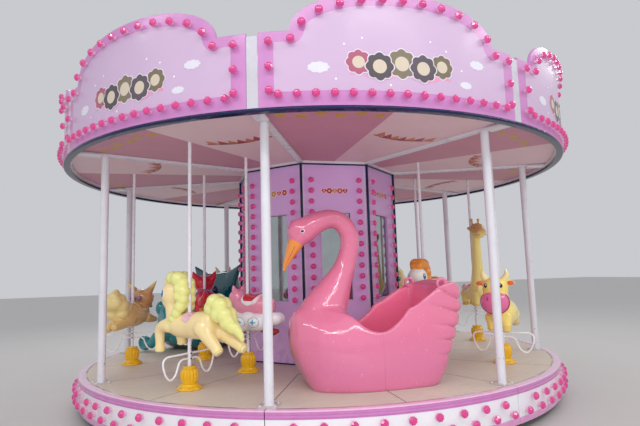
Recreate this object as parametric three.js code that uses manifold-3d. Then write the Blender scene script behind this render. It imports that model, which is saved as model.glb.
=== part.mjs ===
// A small fairground carousel: an eight-sided galloper with twelve moulded animals that rise and
// fall on poles, two carriages for two riders each (a swan and a sea dragon), a turning deck with
// eight posts, and a crown of eight round-topped boards. Millimetres, +Z up, the origin on the
// ground at the turning axis. Height 0 of the deck group is the top of the deck.
import * as THREE from 'three';
import { mergeVertices } from 'three/addons/utils/BufferGeometryUtils.js';
import Module from 'manifold-3d';

const wasm = await Module();
wasm.setup();

// Driving dimensions
const SECTORS = 8;
const SECTOR = (2 * Math.PI) / SECTORS;
const FIRST_POST = -Math.PI / 2 - SECTOR / 2;
const RIM_STEPS = 48;
const GAP = 0.3;

const DECK_TOP = 370;
const DECK_THICKNESS = 20;
const DECK_RADIUS = 2700;
const EDGE_RADIUS = 2750;
const EDGE_RISE = 3;
const EDGE_DROP = 62;
const SKIRT_DROP = 300;
const SKIRT_THICKNESS = 17;

const POST_CIRCLE = 2600;
const POST_RADIUS = 38;
const POST_TOP = 2205;
const FOOT_PLATE = 158;
const FOOT_PLATE_THICKNESS = 8;

const BEAM_WIDTH = 65;
const BEAM_TOP = 2230;
const CEILING_THICKNESS = 12;
const CANOPY_RING_INNER = 2862;
const CANOPY_RING_OUTER = 2906;
const CANOPY_RING_TOP = 2300;

const CROWN_INNER = 2912;
const CROWN_OUTER = 2942;
const CROWN_BOTTOM = 2200;
const CROWN_SHOULDER = 588;
const CROWN_RISE = 312;
const CROWN_END = 0.02;
const CROWN_HUMP = 0.752;
const TRIM_DROP = 28;
const LAMP_COUNT = 15;
const LAMP_MARGIN = 0.0865;
const LAMP_HEIGHT = 82;
const LAMP_REACH = 66;
const LAMP_ROOT_RADIUS = 26;
const LAMP_TIP_RADIUS = 22;

const ROOF_APEX = 3090;
const ROOF_EAVES = 2330;
const ROOF_SHEET = 12;

const COLUMN_CORNER = 996;
const COLUMN_WALL = 20;
const MIRROR_HALF_WIDTH = 175;
const MIRROR_BOTTOM = 676;
const MIRROR_TOP = 1645;

const OUTER_ROW = 2236;
const INNER_ROW = 1417;
const CARRIAGE_ROW = 1850;
const SWAN_SECTOR = 0;
const SEA_DRAGON_SECTOR = -3;
const POLE_RADIUS = 16.5;
const POLE_SIDES = 8;
const BORE_RADIUS = 17;
const BORE_BOTTOM = -15;
const SOCKET_HEIGHT = 200;
const CEILING_HOLE = 24;
const ROW_POLE = { outer: [30, 2330], inner: [100, 2390] };
const FOOTREST_TUBE = 7.5;

const DARK_STEEL = new THREE.MeshStandardMaterial({ color: 0x3a3d42, roughness: 0.6, metalness: 0.6 });
const DECK_SHEET = new THREE.MeshStandardMaterial({ color: 0xb9b0a8, roughness: 0.7, metalness: 0.1 });
const PINK_EDGE = new THREE.MeshStandardMaterial({ color: 0xdb8fc4, roughness: 0.35, metalness: 0.0 });
const WHITE_PAINT = new THREE.MeshStandardMaterial({ color: 0xece8ee, roughness: 0.35, metalness: 0.1 });
const CEILING_PINK = new THREE.MeshStandardMaterial({ color: 0xd9a9b4, roughness: 0.6, metalness: 0.0 });
const CROWN_LILAC = new THREE.MeshStandardMaterial({ color: 0xd9a8d8, roughness: 0.45, metalness: 0.0 });
const NAVY = new THREE.MeshStandardMaterial({ color: 0x18265e, roughness: 0.25, metalness: 0.1 });
const ROOF_GREY = new THREE.MeshStandardMaterial({ color: 0xc9c3cc, roughness: 0.6, metalness: 0.2 });
const COLUMN_LILAC = new THREE.MeshStandardMaterial({ color: 0xcf9cd2, roughness: 0.4, metalness: 0.0 });
const MIRROR = new THREE.MeshStandardMaterial({ color: 0xc8ccd0, roughness: 0.05, metalness: 1.0 });
const SWAN_PINK = new THREE.MeshStandardMaterial({ color: 0xe87aa4, roughness: 0.2, metalness: 0.0 });
const SEAT_PINK = new THREE.MeshStandardMaterial({ color: 0xdc5484, roughness: 0.3, metalness: 0.0 });
const moulded = (color) => new THREE.MeshStandardMaterial({ color, roughness: 0.25, metalness: 0.0 });

// Joining and cutting

function welded(geometry) {
  const bare = geometry.index ? geometry.toNonIndexed() : geometry.clone();
  bare.deleteAttribute('normal');
  bare.deleteAttribute('uv');
  return mergeVertices(bare, 1e-3);
}

function solidOf(geometry) {
  const mesh = welded(geometry);
  return new wasm.Manifold(new wasm.Mesh({
    numProp: 3,
    vertProperties: Float32Array.from(mesh.attributes.position.array),
    triVerts: Uint32Array.from(mesh.index.array),
  }));
}

function geometryOf(solid) {
  const mesh = solid.getMesh();
  const geometry = new THREE.BufferGeometry();
  geometry.setAttribute('position', new THREE.BufferAttribute(Float32Array.from(mesh.vertProperties), 3));
  geometry.setIndex(new THREE.BufferAttribute(Uint32Array.from(mesh.triVerts), 1));
  geometry.computeVertexNormals();
  return geometry;
}

const join = (...geometries) => geometryOf(geometries.map(solidOf).reduce((sum, next) => sum.add(next)));

const cut = (geometry, ...tools) =>
  geometryOf(tools.map(solidOf).reduce((rest, tool) => rest.subtract(tool), solidOf(geometry)));

// Basic shapes

function outward(geometry) {
  const mesh = welded(geometry);
  const p = mesh.attributes.position;
  const index = mesh.index.array;
  const [a, b, c] = [new THREE.Vector3(), new THREE.Vector3(), new THREE.Vector3()];
  let volume = 0;
  for (let i = 0; i < index.length; i += 3) {
    a.fromBufferAttribute(p, index[i]);
    b.fromBufferAttribute(p, index[i + 1]);
    c.fromBufferAttribute(p, index[i + 2]);
    volume += a.dot(b.cross(c));
  }
  if (volume < 0) {
    for (let i = 0; i < index.length; i += 3) {
      [index[i + 1], index[i + 2]] = [index[i + 2], index[i + 1]];
    }
  }
  mesh.computeVertexNormals();
  return mesh;
}

// A closed skin over a row of like rings, each a list of [x, y, z].
function skin(rings) {
  const count = rings[0].length;
  const points = rings.flat();
  const faces = [];
  for (let k = 0; k + 1 < rings.length; k++) {
    for (let i = 0; i < count; i++) {
      const next = (i + 1) % count;
      const [a, b] = [k * count + i, k * count + next];
      faces.push(a, b, b + count, a, b + count, a + count);
    }
  }
  for (const [k, turned] of [[0, true], [rings.length - 1, false]]) {
    const middle = [0, 1, 2].map((axis) => rings[k].reduce((sum, p) => sum + p[axis], 0) / count);
    points.push(middle);
    for (let i = 0; i < count; i++) {
      const [a, b] = [k * count + i, k * count + ((i + 1) % count)];
      faces.push(...(turned ? [points.length - 1, b, a] : [points.length - 1, a, b]));
    }
  }
  const geometry = new THREE.BufferGeometry();
  geometry.setAttribute('position', new THREE.Float32BufferAttribute(points.flat(), 3));
  geometry.setIndex(faces);
  return outward(geometry);
}

// A round bar along points [x, y, z, radius]; its rings keep one side towards the given axis.
function limb(points, sides = 6, side = new THREE.Vector3(0, 1, 0)) {
  const centres = points.map(([x, y, z]) => new THREE.Vector3(x, y, z));
  const rings = centres.map((centre, k) => {
    const ahead = centres[Math.min(k + 1, centres.length - 1)];
    const behind = centres[Math.max(k - 1, 0)];
    const along = ahead.clone().sub(behind).normalize();
    const across = side.clone().addScaledVector(along, -side.dot(along)).normalize();
    const up = along.clone().cross(across);
    return Array.from({ length: sides }, (_, i) => {
      const turn = (2 * Math.PI * i) / sides;
      return centre.clone()
        .addScaledVector(across, points[k][3] * Math.cos(turn))
        .addScaledVector(up, points[k][3] * Math.sin(turn))
        .toArray();
    });
  });
  return skin(rings);
}

const ball = (x, y, z, rx, ry = rx, rz = rx) =>
  new THREE.SphereGeometry(1, 8, 4).rotateX(Math.PI / 2).scale(rx, ry, rz).translate(x, y, z);

// A ring turned from a closed outline of [radius, height] points.
function hoop(outline, steps = RIM_STEPS) {
  const closed = [...outline, outline[0]].map(([r, z]) => new THREE.Vector2(r, z));
  return outward(new THREE.LatheGeometry(closed, steps).rotateX(Math.PI / 2));
}

// A solid of revolution whose outline starts and ends on the axis.
function turned(outline, steps = RIM_STEPS) {
  const points = outline.map(([r, z]) => new THREE.Vector2(r, z));
  return outward(new THREE.LatheGeometry(points, steps).rotateX(Math.PI / 2));
}

const octagon = (outline) => hoop(outline, SECTORS).rotateZ(SECTOR / 2);

function rod(radius, bottom, top, sides = POLE_SIDES) {
  return new THREE.CylinderGeometry(radius, radius, top - bottom, sides)
    .rotateX(Math.PI / 2)
    .translate(0, 0, (top + bottom) / 2);
}

function block(x0, x1, y0, y1, z0, z1) {
  return new THREE.BoxGeometry(x1 - x0, y1 - y0, z1 - z0)
    .translate((x0 + x1) / 2, (y0 + y1) / 2, (z0 + z1) / 2);
}

const around = (make) =>
  Array.from({ length: SECTORS }, (_, k) => make(k).rotateZ(FIRST_POST + k * SECTOR));

// Places on the deck: a seat's own +X points the way the carousel runs, clockwise from above,
// and its +Y points outwards.
const sectorAngle = (sector) => -Math.PI / 2 + sector * SECTOR;

function seatMatrix(sector, radius) {
  const angle = sectorAngle(sector);
  const turn = new THREE.Matrix4().makeRotationZ(angle - Math.PI / 2);
  return turn.setPosition(radius * Math.cos(angle), radius * Math.sin(angle), 0);
}

// The fixed base frame: a hub, eight arms and a ring on flat pads.
const HUB_RADIUS = 300;
const HUB_TOP = 219.7;
const PAD_HEIGHT = 20;
const ARM_TOP = 100;
const BASE_RING_OUTER = 2460;
const BASE_RING_INNER = 2380;

const ARM_HALF_WIDTH = 40;
const PAD_RADIUS = 90;

function baseFrame() {
  const arms = around(() => block(HUB_RADIUS / 2, BASE_RING_OUTER - 20, -ARM_HALF_WIDTH, ARM_HALF_WIDTH,
    PAD_HEIGHT, ARM_TOP));
  const pads = around(() => rod(PAD_RADIUS, 0, PAD_HEIGHT + 10)
    .translate((BASE_RING_INNER + BASE_RING_OUTER) / 2, 0, 0));
  const ring = octagon([[BASE_RING_INNER, PAD_HEIGHT], [BASE_RING_OUTER, PAD_HEIGHT],
    [BASE_RING_OUTER, ARM_TOP], [BASE_RING_INNER, ARM_TOP]]);
  return join(rod(HUB_RADIUS, 0, HUB_TOP, 16), ring, ...arms, ...pads);
}

// The turning frame under the deck, seated on the hub.
const FRAME_DEPTH = 120;
const FRAME_TOP = -DECK_THICKNESS - GAP;
const SKIRT_INNER = EDGE_RADIUS - 25;

function turningFrame() {
  const hub = rod(HUB_RADIUS, HUB_TOP + GAP - DECK_TOP, FRAME_TOP, 16);
  const ring = hoop([[SKIRT_INNER - 85, -FRAME_DEPTH], [SKIRT_INNER - GAP, -FRAME_DEPTH],
    [SKIRT_INNER - GAP, FRAME_TOP], [SKIRT_INNER - 85, FRAME_TOP]]);
  const arms = around(() => block(HUB_RADIUS / 2, SKIRT_INNER - 40, -ARM_HALF_WIDTH, ARM_HALF_WIDTH,
    -FRAME_DEPTH, FRAME_TOP));
  return join(hub, ring, ...arms);
}

// The deck sheet carries twelve sockets, one under each pole.
const SOCKET_OUTLINE = [[0, -5], [115, -5], [115, 18], [78, 42], [78, 165], [70, SOCKET_HEIGHT],
  [0, SOCKET_HEIGHT]];

function deck(seats) {
  const sheet = rod(DECK_RADIUS, -DECK_THICKNESS, 0, RIM_STEPS);
  const sockets = seats.map(({ matrix }) => turned(SOCKET_OUTLINE, POLE_SIDES).applyMatrix4(matrix));
  const bores = seats.map(({ matrix }) =>
    rod(BORE_RADIUS, BORE_BOTTOM, SOCKET_HEIGHT + 20).applyMatrix4(matrix));
  return cut(join(sheet, ...sockets), ...bores);
}

const deckEdge = () => hoop([[DECK_RADIUS + GAP, FRAME_TOP + 2 * GAP], [DECK_RADIUS + GAP, EDGE_RISE],
  [EDGE_RADIUS, EDGE_RISE], [EDGE_RADIUS, -EDGE_DROP], [SKIRT_INNER, -EDGE_DROP],
  [SKIRT_INNER, FRAME_TOP + 2 * GAP]]);

const skirt = () => hoop([[SKIRT_INNER, -SKIRT_DROP], [SKIRT_INNER + SKIRT_THICKNESS, -SKIRT_DROP],
  [SKIRT_INNER + SKIRT_THICKNESS, -EDGE_DROP - GAP], [SKIRT_INNER, -EDGE_DROP - GAP]]);

function post(k) {
  const half = FOOT_PLATE / 2;
  const tube = rod(POST_RADIUS, GAP, POST_TOP);
  const plate = block(-half, half, -half, half, GAP, FOOT_PLATE_THICKNESS);
  return join(tube, plate).translate(POST_CIRCLE, 0, 0).rotateZ(FIRST_POST + k * SECTOR);
}

// The canopy frame: radial beams from the centre column to an outer ring.
const apothem = (distance) => distance / Math.cos(SECTOR / 2);
const COLUMN_FACE = COLUMN_CORNER * Math.cos(SECTOR / 2);
const COLLAR_INNER = apothem(COLUMN_FACE + 0.4);
const COLLAR_OUTER = apothem(COLUMN_FACE + 35);

function canopyFrame() {
  const bottom = POST_TOP + GAP;
  const ring = hoop([[CANOPY_RING_INNER, CROWN_BOTTOM], [CANOPY_RING_OUTER, CROWN_BOTTOM],
    [CANOPY_RING_OUTER, CANOPY_RING_TOP], [CANOPY_RING_INNER, CANOPY_RING_TOP]]);
  const collar = octagon([[COLLAR_INNER, bottom], [COLLAR_OUTER, bottom],
    [COLLAR_OUTER, BEAM_TOP], [COLLAR_INNER, BEAM_TOP]]);
  const beams = around(() => block(COLLAR_OUTER - 20, CANOPY_RING_OUTER - 15,
    -BEAM_WIDTH / 2, BEAM_WIDTH / 2, bottom, BEAM_TOP));
  return join(ring, collar, ...beams);
}

function ceiling(seats) {
  const sheet = rod(CANOPY_RING_INNER - GAP, BEAM_TOP + GAP, BEAM_TOP + GAP + CEILING_THICKNESS, RIM_STEPS);
  const holes = seats.map(({ matrix }) =>
    rod(CEILING_HOLE, BEAM_TOP - 20, BEAM_TOP + 40).applyMatrix4(matrix));
  return cut(sheet, ...holes);
}

// A crown board's top edge over its own width, u from 0 to 1: low shoulders and a round hump.
function crownHeight(u) {
  const fromMiddle = Math.abs(2 * u - 1);
  if (fromMiddle >= CROWN_HUMP) {
    return CROWN_SHOULDER;
  }
  return CROWN_SHOULDER + CROWN_RISE * (1 - (fromMiddle / CROWN_HUMP) ** 2.3) ** 0.465;
}

// Each board carries the upright strip that covers its joint with the board before it, and the row
// of lamp caps along its foot.
const STRIP_HALF_WIDTH = 45;
const STRIP_LAP = 12;
const STRIP_BACK = 4;
const STRIP_PROUD = 2;

function footLamps(k) {
  const z = CROWN_BOTTOM + LAMP_HEIGHT;
  const cap = limb([[CROWN_OUTER - STRIP_LAP, 0, z, LAMP_ROOT_RADIUS],
    [CROWN_OUTER + LAMP_REACH, 0, z, LAMP_TIP_RADIUS]]);
  return Array.from({ length: LAMP_COUNT }, (_, n) => {
    const along = LAMP_MARGIN + (n * (1 - 2 * LAMP_MARGIN)) / (LAMP_COUNT - 1);
    return cap.clone().rotateZ(FIRST_POST + (k + along) * SECTOR);
  });
}

function crownBoard(k) {
  const strip = block(CROWN_INNER - STRIP_BACK, CROWN_OUTER + STRIP_PROUD, -STRIP_HALF_WIDTH,
    STRIP_HALF_WIDTH + STRIP_LAP, CROWN_BOTTOM, CROWN_BOTTOM + CROWN_SHOULDER)
    .rotateZ(FIRST_POST + k * SECTOR);
  const stops = [CROWN_END, 0.1239, 0.1241, 0.14, 0.17, 0.22, 0.3, 0.4, 0.5];
  const across = [...stops, ...stops.slice(0, -1).reverse().map((u) => 1 - u)];
  const board = skin(across.map((u) => {
    const angle = FIRST_POST + (k + u) * SECTOR;
    const top = CROWN_BOTTOM + crownHeight(u);
    const section = [[CROWN_INNER, CROWN_BOTTOM], [CROWN_OUTER, CROWN_BOTTOM], [CROWN_OUTER, top],
      [CROWN_INNER, top]];
    return section.map(([r, z]) => [r * Math.cos(angle), r * Math.sin(angle), z]);
  }));
  return join(board, strip, ...footLamps(k));
}

const crownTrim = () => hoop([[CROWN_INNER - 30, CROWN_BOTTOM - TRIM_DROP],
  [CROWN_OUTER + 6, CROWN_BOTTOM - TRIM_DROP], [CROWN_OUTER + 6, CROWN_BOTTOM - GAP],
  [CROWN_INNER - 30, CROWN_BOTTOM - GAP]]);

function roofCover() {
  const foot = CANOPY_RING_TOP + GAP;
  const [inside, outside] = [CANOPY_RING_INNER + 8, CANOPY_RING_OUTER - 7];
  return turned([[0, ROOF_APEX - ROOF_SHEET], [inside, ROOF_EAVES - ROOF_SHEET], [inside, foot],
    [outside, foot], [outside, ROOF_EAVES], [0, ROOF_APEX]], RIM_STEPS / 2);
}

// The centre column: eight faces with a tall mirror in each, and a tube on each corner.
function columnHousing() {
  const inner = apothem(COLUMN_FACE - COLUMN_WALL);
  const walls = octagon([[inner, GAP], [COLUMN_CORNER, GAP], [COLUMN_CORNER, BEAM_TOP], [inner, BEAM_TOP]]);
  const windows = around(() => block(COLUMN_FACE - 60, COLUMN_FACE + 60,
    -MIRROR_HALF_WIDTH, MIRROR_HALF_WIDTH, MIRROR_BOTTOM, MIRROR_TOP).rotateZ(SECTOR / 2));
  return cut(walls, ...windows);
}

function columnMirror() {
  const outer = apothem(COLUMN_FACE - COLUMN_WALL - GAP);
  const inner = apothem(COLUMN_FACE - COLUMN_WALL - 6);
  const [bottom, top] = [MIRROR_BOTTOM - 25, MIRROR_TOP + 25];
  return octagon([[inner, bottom], [outer, bottom], [outer, top], [inner, top]]);
}

function columnCorners() {
  const [inner, outer] = [apothem(COLUMN_FACE + 0.4), apothem(COLUMN_FACE + 14)];
  const top = POST_TOP;
  const collar = (low, high) => octagon([[inner, low], [outer, low], [outer, high], [inner, high]]);
  const tubes = around(() => rod(15, GAP, top, 6).translate(COLUMN_CORNER + 16.5, 0, 0));
  return join(collar(GAP, 12), collar(top - 14, top), ...tubes);
}

// The carriages, each one hollow moulding on the deck. Stations run from the breast to the tail:
// [forward, underside, widest height, lip height, half width below, half width, half width at lip].
const SWAN_HULL = [
  [725, 320, 430, 500, 30, 60, 35],
  [650, 100, 400, 560, 150, 228, 100],
  [540, 18, 380, 600, 258, 340, 180],
  [400, GAP, 370, 640, 352, 412, 270],
  [250, GAP, 360, 592, 408, 446, 360],
  [150, GAP, 355, 505, 422, 455, 415],
  [44, GAP, 350, 464, 430, 458, 445],
  [-50, GAP, 350, 484, 432, 458, 446],
  [-168, GAP, 350, 572, 430, 458, 440],
  [-254, GAP, 355, 645, 426, 457, 436],
  [-389, GAP, 370, 727, 410, 452, 428],
  [-514, 30, 400, 800, 368, 442, 412],
  [-620, 160, 450, 838, 322, 424, 392],
  [-700, 330, 540, 853, 290, 400, 370],
  [-762, 540, 690, 850, 245, 352, 325],
];
const SWAN_NECK = [[460, 0, 520, 235], [395, 0, 660, 205], [325, 0, 785, 166], [262, 0, 900, 128],
  [205, 0, 1010, 102], [165, 0, 1120, 90], [140, 0, 1220, 86], [145, 0, 1340, 85],
  [212, 0, 1440, 86], [310, 0, 1480, 84], [420, 0, 1465, 86], [520, 0, 1425, 96]];
const SEA_HULL = [
  [640, 200, 330, 430, 60, 120, 60],
  [560, 60, 340, 600, 180, 290, 190],
  [400, GAP, 340, 640, 280, 400, 270],
  [220, GAP, 340, 560, 340, 445, 350],
  [60, GAP, 340, 450, 365, 455, 430],
  [-100, GAP, 340, 410, 370, 455, 445],
  [-260, GAP, 340, 450, 360, 455, 440],
  [-400, GAP, 350, 570, 335, 445, 420],
  [-540, 40, 380, 660, 290, 420, 390],
  [-680, 120, 340, 610, 220, 340, 290],
  [-750, 240, 340, 460, 120, 180, 130],
];
const SEA_FRILL = [[452, 1145], [345, 800], [180, 550], [-180, 550], [-345, 800], [-452, 1145],
  [-200, 1035], [200, 1035]];
const HULL_WALL = 50;
const HULL_FLOOR = 110;
const SEAT_TOP = 330;

function hullRing([x, low, middle, top, halfLow, half, halfTop]) {
  const side = [[halfLow, low], [Math.min((halfLow + half) / 2 + 25, half), (2 * low + middle) / 3],
    [half, middle],
    [(half + halfTop) / 2 + 8, (middle + top) / 2], [halfTop, top]];
  return [...side.map(([y, z]) => [x, y, z]), ...side.reverse().map(([y, z]) => [x, -y, z])];
}

const hullWell = (stations) => skin(stations.map(([x, low, middle, top, , half, halfTop]) => hullRing([
  x, Math.max(HULL_FLOOR, low + HULL_WALL), middle, top + 60, half - 120, half - HULL_WALL,
  halfTop - HULL_WALL])));

function swanBody() {
  const neck = limb(SWAN_NECK, 10);
  const head = ball(588, 0, 1375, 124, 95, 112);
  const beak = limb([[635, 0, 1325, 74], [695, 0, 1210, 50], [772, 0, 1010, 14]], 8);
  return cut(join(skin(SWAN_HULL.map(hullRing)), neck, head, beak), hullWell(SWAN_HULL.slice(4, 13)));
}

// The sea dragon: a low hull with a broad head in front of the riders, a frill with two pointed
// ends behind the head, and a tail that rolls up at the outer rear corner.
function seaDragonBody() {
  const head = ball(360, 0, 800, 240, 205, 262);
  const muzzle = ball(555, 0, 705, 120, 150, 112);
  const frill = skin([125, 185].map((x) => SEA_FRILL.map(([y, z]) => [x, y, z])));
  const knob = ball(110, 0, 771, 73);
  const tail = limb([[-660, 40, 330, 150], [-735, 200, 235, 120], [-800, 330, 160, 86],
    [-817, 420, 125, 66]], 7);
  const roll = rod(110, -75, 75, 10).rotateX(Math.PI / 2).translate(-817, 425, 110 + GAP);
  const hull = skin(SEA_HULL.map(hullRing));
  return cut(join(hull, head, muzzle, frill, knob, tail, roll), hullWell(SEA_HULL.slice(4, 9)));
}

// A bench across the hull: [forward, underside, half width] from its front edge to its back.
function carriageSeat(stations) {
  return skin(stations.map(([x, low, half]) =>
    [[x, half, low], [x, half + 40, SEAT_TOP], [x, -half - 40, SEAT_TOP], [x, -half, low]]));
}

const swanSeat = () =>
  carriageSeat([[-250, HULL_FLOOR + GAP, 320], [-389, HULL_FLOOR + GAP, 310], [-505, 140, 290],
    [-560, 225, 275]]);
const seaDragonSeat = () => carriageSeat([[-250, HULL_FLOOR + GAP, 310], [-500, HULL_FLOOR + GAP, 280]]);

// Moulded animals, each a list of overlapping forms in its seat's own frame.
const leg = (y, ...points) => limb(points.map(([x, z, r]) => [x, y, z, r]), 5);

const pony = () => [
  limb([[225, 0, 570, 62], [120, 0, 550, 104], [-150, 0, 552, 114], [-300, 0, 580, 78]], 7),
  limb([[165, 0, 570, 92], [200, 0, 800, 84]]),
  ball(210, 0, 828, 116, 104, 118), ball(270, 0, 758, 72, 66, 66),
  ball(120, 0, 945, 110, 90, 84), ball(30, 0, 800, 100, 94, 150),
  ball(-335, 0, 690, 100, 70, 116),
  limb([[-380, 0, 630, 76], [-490, 0, 545, 56], [-600, 0, 440, 16]], 5),
  leg(58, [180, 550, 58], [310, 520, 48], [312, 318, 44]),
  leg(-56, [175, 520, 56], [150, 372, 42]),
  leg(62, [-215, 545, 84], [-400, 330, 46]),
  leg(-62, [-240, 545, 84], [-570, 358, 44]),
];

// The fox is bolted to its pole a little askew, its head turned inwards.
const FOX_TURN = THREE.MathUtils.degToRad(-28);

const fox = () => [
  limb([[200, 0, 566, 76], [70, 0, 556, 112], [-110, 0, 562, 126], [-230, 0, 585, 96]], 7),
  limb([[120, 0, 570, 92], [170, 0, 710, 84]]),
  ball(185, 0, 735, 112, 120, 104), limb([[250, 0, 712, 62], [335, 0, 690, 24]], 5),
  limb([[170, 68, 785, 50], [165, 146, 935, 6]], 4), limb([[170, -68, 785, 50], [165, -146, 935, 6]], 4),
  limb([[-170, 0, 590, 60], [-290, 0, 640, 92], [-330, 0, 740, 76], [-270, 0, 820, 20]]),
  leg(58, [150, 530, 54], [335, 505, 34]), leg(-58, [150, 530, 54], [300, 480, 36]),
  leg(58, [-130, 530, 66], [-340, 450, 40]), leg(-58, [-130, 530, 66], [-390, 470, 38]),
].map((form) => form.rotateZ(FOX_TURN));

const cow = () => [
  limb([[190, 0, 520, 84], [60, 0, 500, 136], [-140, 0, 510, 146], [-250, 0, 530, 96]], 7),
  limb([[140, 0, 550, 104], [195, 0, 730, 100]]),
  ball(200, 0, 765, 132, 130, 128), ball(265, 0, 640, 108, 134, 118),
  limb([[190, 84, 840, 42], [185, 116, 975, 10]], 4), limb([[190, -84, 840, 42], [185, -116, 975, 10]], 4),
  ball(185, 138, 818, 30, 66, 34), ball(185, -138, 818, 30, 66, 34),
  leg(75, [150, 480, 60], [190, 345, 48]), leg(-75, [150, 480, 60], [110, 345, 48]),
  leg(75, [-170, 490, 76], [-330, 392, 48]), leg(-75, [-170, 490, 76], [-280, 372, 48]),
];

const giraffe = () => [
  limb([[180, 0, 680, 84], [50, 0, 660, 114], [-130, 0, 665, 114], [-230, 0, 690, 68]], 7),
  limb([[90, 0, 690, 110], [110, 0, 880, 86], [120, 0, 1330, 58], [135, 0, 1460, 58]], 7),
  ball(165, 0, 1500, 124, 94, 98), ball(250, 0, 1455, 82, 74, 70),
  limb([[130, 42, 1530, 18], [120, 52, 1655, 20]], 4),
  limb([[130, -42, 1530, 18], [120, -52, 1655, 20]], 4),
  leg(62, [140, 640, 60], [150, 475, 44]), leg(-62, [140, 640, 60], [120, 475, 44]),
  leg(62, [-150, 640, 64], [-170, 475, 44]), leg(-62, [-150, 640, 64], [-150, 475, 44]),
];

const cloudPig = () => [
  limb([[180, 0, 645, 60], [60, 0, 660, 116], [-130, 0, 660, 120], [-230, 0, 650, 66]], 7),
  ball(150, 0, 745, 110, 102, 96), limb([[220, 0, 725, 48], [285, 0, 715, 42]], 5),
  limb([[135, 62, 800, 38], [135, 84, 880, 8]], 4), limb([[135, -62, 800, 38], [135, -84, 880, 8]], 4),
  ball(150, 0, 520, 130, 134, 92), ball(0, 0, 505, 140, 164, 88), ball(-150, 0, 510, 130, 154, 92),
  ball(-265, 0, 535, 84, 104, 70),
];

const dragon = () => [
  limb([[150, 0, 720, 78], [40, 0, 700, 120], [-110, 0, 700, 120], [-220, 0, 690, 76],
    [-400, 0, 820, 8]], 7),
  limb([[100, 0, 720, 96], [145, 0, 850, 84]]),
  ball(165, 0, 880, 132, 124, 112), ball(275, 0, 850, 74, 82, 60),
  limb([[135, 70, 940, 50], [110, 112, 1085, 6]], 4),
  limb([[135, -70, 940, 50], [110, -112, 1085, 6]], 4),
  leg(70, [100, 680, 58], [170, 560, 44]), leg(-70, [100, 680, 58], [150, 550, 44]),
  leg(70, [-120, 680, 64], [-160, 550, 44]), leg(-70, [-120, 680, 64], [-190, 560, 44]),
];

const elephant = () => [
  limb([[180, 0, 640, 82], [50, 0, 630, 132], [-130, 0, 635, 134], [-240, 0, 640, 72]], 7),
  ball(180, 0, 770, 122, 116, 114),
  limb([[260, 0, 740, 54], [340, 0, 640, 38], [390, 0, 600, 32], [430, 0, 650, 26]], 5),
  ball(150, 140, 780, 36, 92, 98), ball(150, -140, 780, 36, 92, 98),
  leg(72, [120, 600, 62], [130, 470, 52]), leg(-72, [120, 600, 62], [130, 470, 52]),
  leg(72, [-150, 600, 64], [-160, 470, 52]), leg(-72, [-150, 600, 64], [-160, 470, 52]),
];

const ROW_LIFT = { outer: 0, inner: 70 };
const whiteHorse = () => pony().map((form) => form.translate(0, 0, ROW_LIFT.inner));

// [name, form, row, sector, colour, footrest lift]
const RIDES = [
  ['pony', pony, 'outer', -1, 0xf0dc9a, 0],
  ['fox', fox, 'outer', -2, 0xc79a5c, 40],
  ['cow', cow, 'outer', 1, 0xf2e08a, 0],
  ['giraffe', giraffe, 'outer', 2, 0xecd06a, 90],
  ['pony_second', pony, 'outer', 3, 0xf0dc9a, 0],
  ['fox_second', fox, 'outer', 4, 0xc79a5c, 40],
  ['cloud_pig', cloudPig, 'inner', -1, 0xe79ab4, 0],
  ['dragon', dragon, 'inner', -2, 0xb0203a, 0],
  ['white_horse', whiteHorse, 'inner', 1, 0xf2efe6, 0],
  ['elephant', elephant, 'inner', 2, 0xb6a0d0, 0],
  ['cloud_pig_second', cloudPig, 'inner', 3, 0xe79ab4, 0],
  ['elephant_second', elephant, 'inner', 4, 0xb6a0d0, 0],
];

// The footrests are two bent tubes, one to each side of the pole: [outwards, height] points.
const FOOTREST = [[4, 308], [262, 306], [302, 262], [275, 165], [225, 115], [170, 140], [122, 240],
  [80, 264], [4, 262]];

function animal(form) {
  return cut(join(...form()), rod(POLE_RADIUS + 0.4, 0, 2400));
}

function pole(row, lift) {
  const [bottom, top] = ROW_POLE[row];
  const rests = [-1, 1].map((side) => limb(
    FOOTREST.map(([out, z]) => [0, side * out, z + ROW_LIFT[row] + lift, FOOTREST_TUBE]), 4,
    new THREE.Vector3(1, 0, 0)));
  return join(rod(POLE_RADIUS, bottom, top), ...rests);
}

// Assembly
const seats = RIDES.map(([, , row, sector]) => ({
  matrix: seatMatrix(sector, row === 'outer' ? OUTER_ROW : INNER_ROW),
}));

const carousel = new THREE.Group();
const onDeck = new THREE.Group();
onDeck.position.z = DECK_TOP;
carousel.add(onDeck);

function add(name, geometry, material, holder = onDeck) {
  const mesh = new THREE.Mesh(geometry, material);
  mesh.name = name;
  holder.add(mesh);
  return mesh;
}

add('base_frame', baseFrame(), DARK_STEEL, carousel);
add('turning_frame', turningFrame(), DARK_STEEL);
add('deck', deck(seats), DECK_SHEET);
add('deck_edge', deckEdge(), PINK_EDGE);
add('skirt', skirt(), WHITE_PAINT);
for (let k = 0; k < SECTORS; k++) {
  add(`post_${k + 1}`, post(k), WHITE_PAINT);
}
add('canopy_frame', canopyFrame(), WHITE_PAINT);
add('ceiling', ceiling(seats), CEILING_PINK);
for (let k = 0; k < SECTORS; k++) {
  add(`crown_board_${k + 1}`, crownBoard(k), CROWN_LILAC);
}
add('crown_trim', crownTrim(), NAVY);
add('roof_cover', roofCover(), ROOF_GREY);
add('column_housing', columnHousing(), COLUMN_LILAC);
add('column_mirror', columnMirror(), MIRROR);
add('column_corners', columnCorners(), NAVY);

function carriage(sector) {
  const place = new THREE.Group();
  place.applyMatrix4(seatMatrix(sector, CARRIAGE_ROW));
  onDeck.add(place);
  return place;
}

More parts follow.
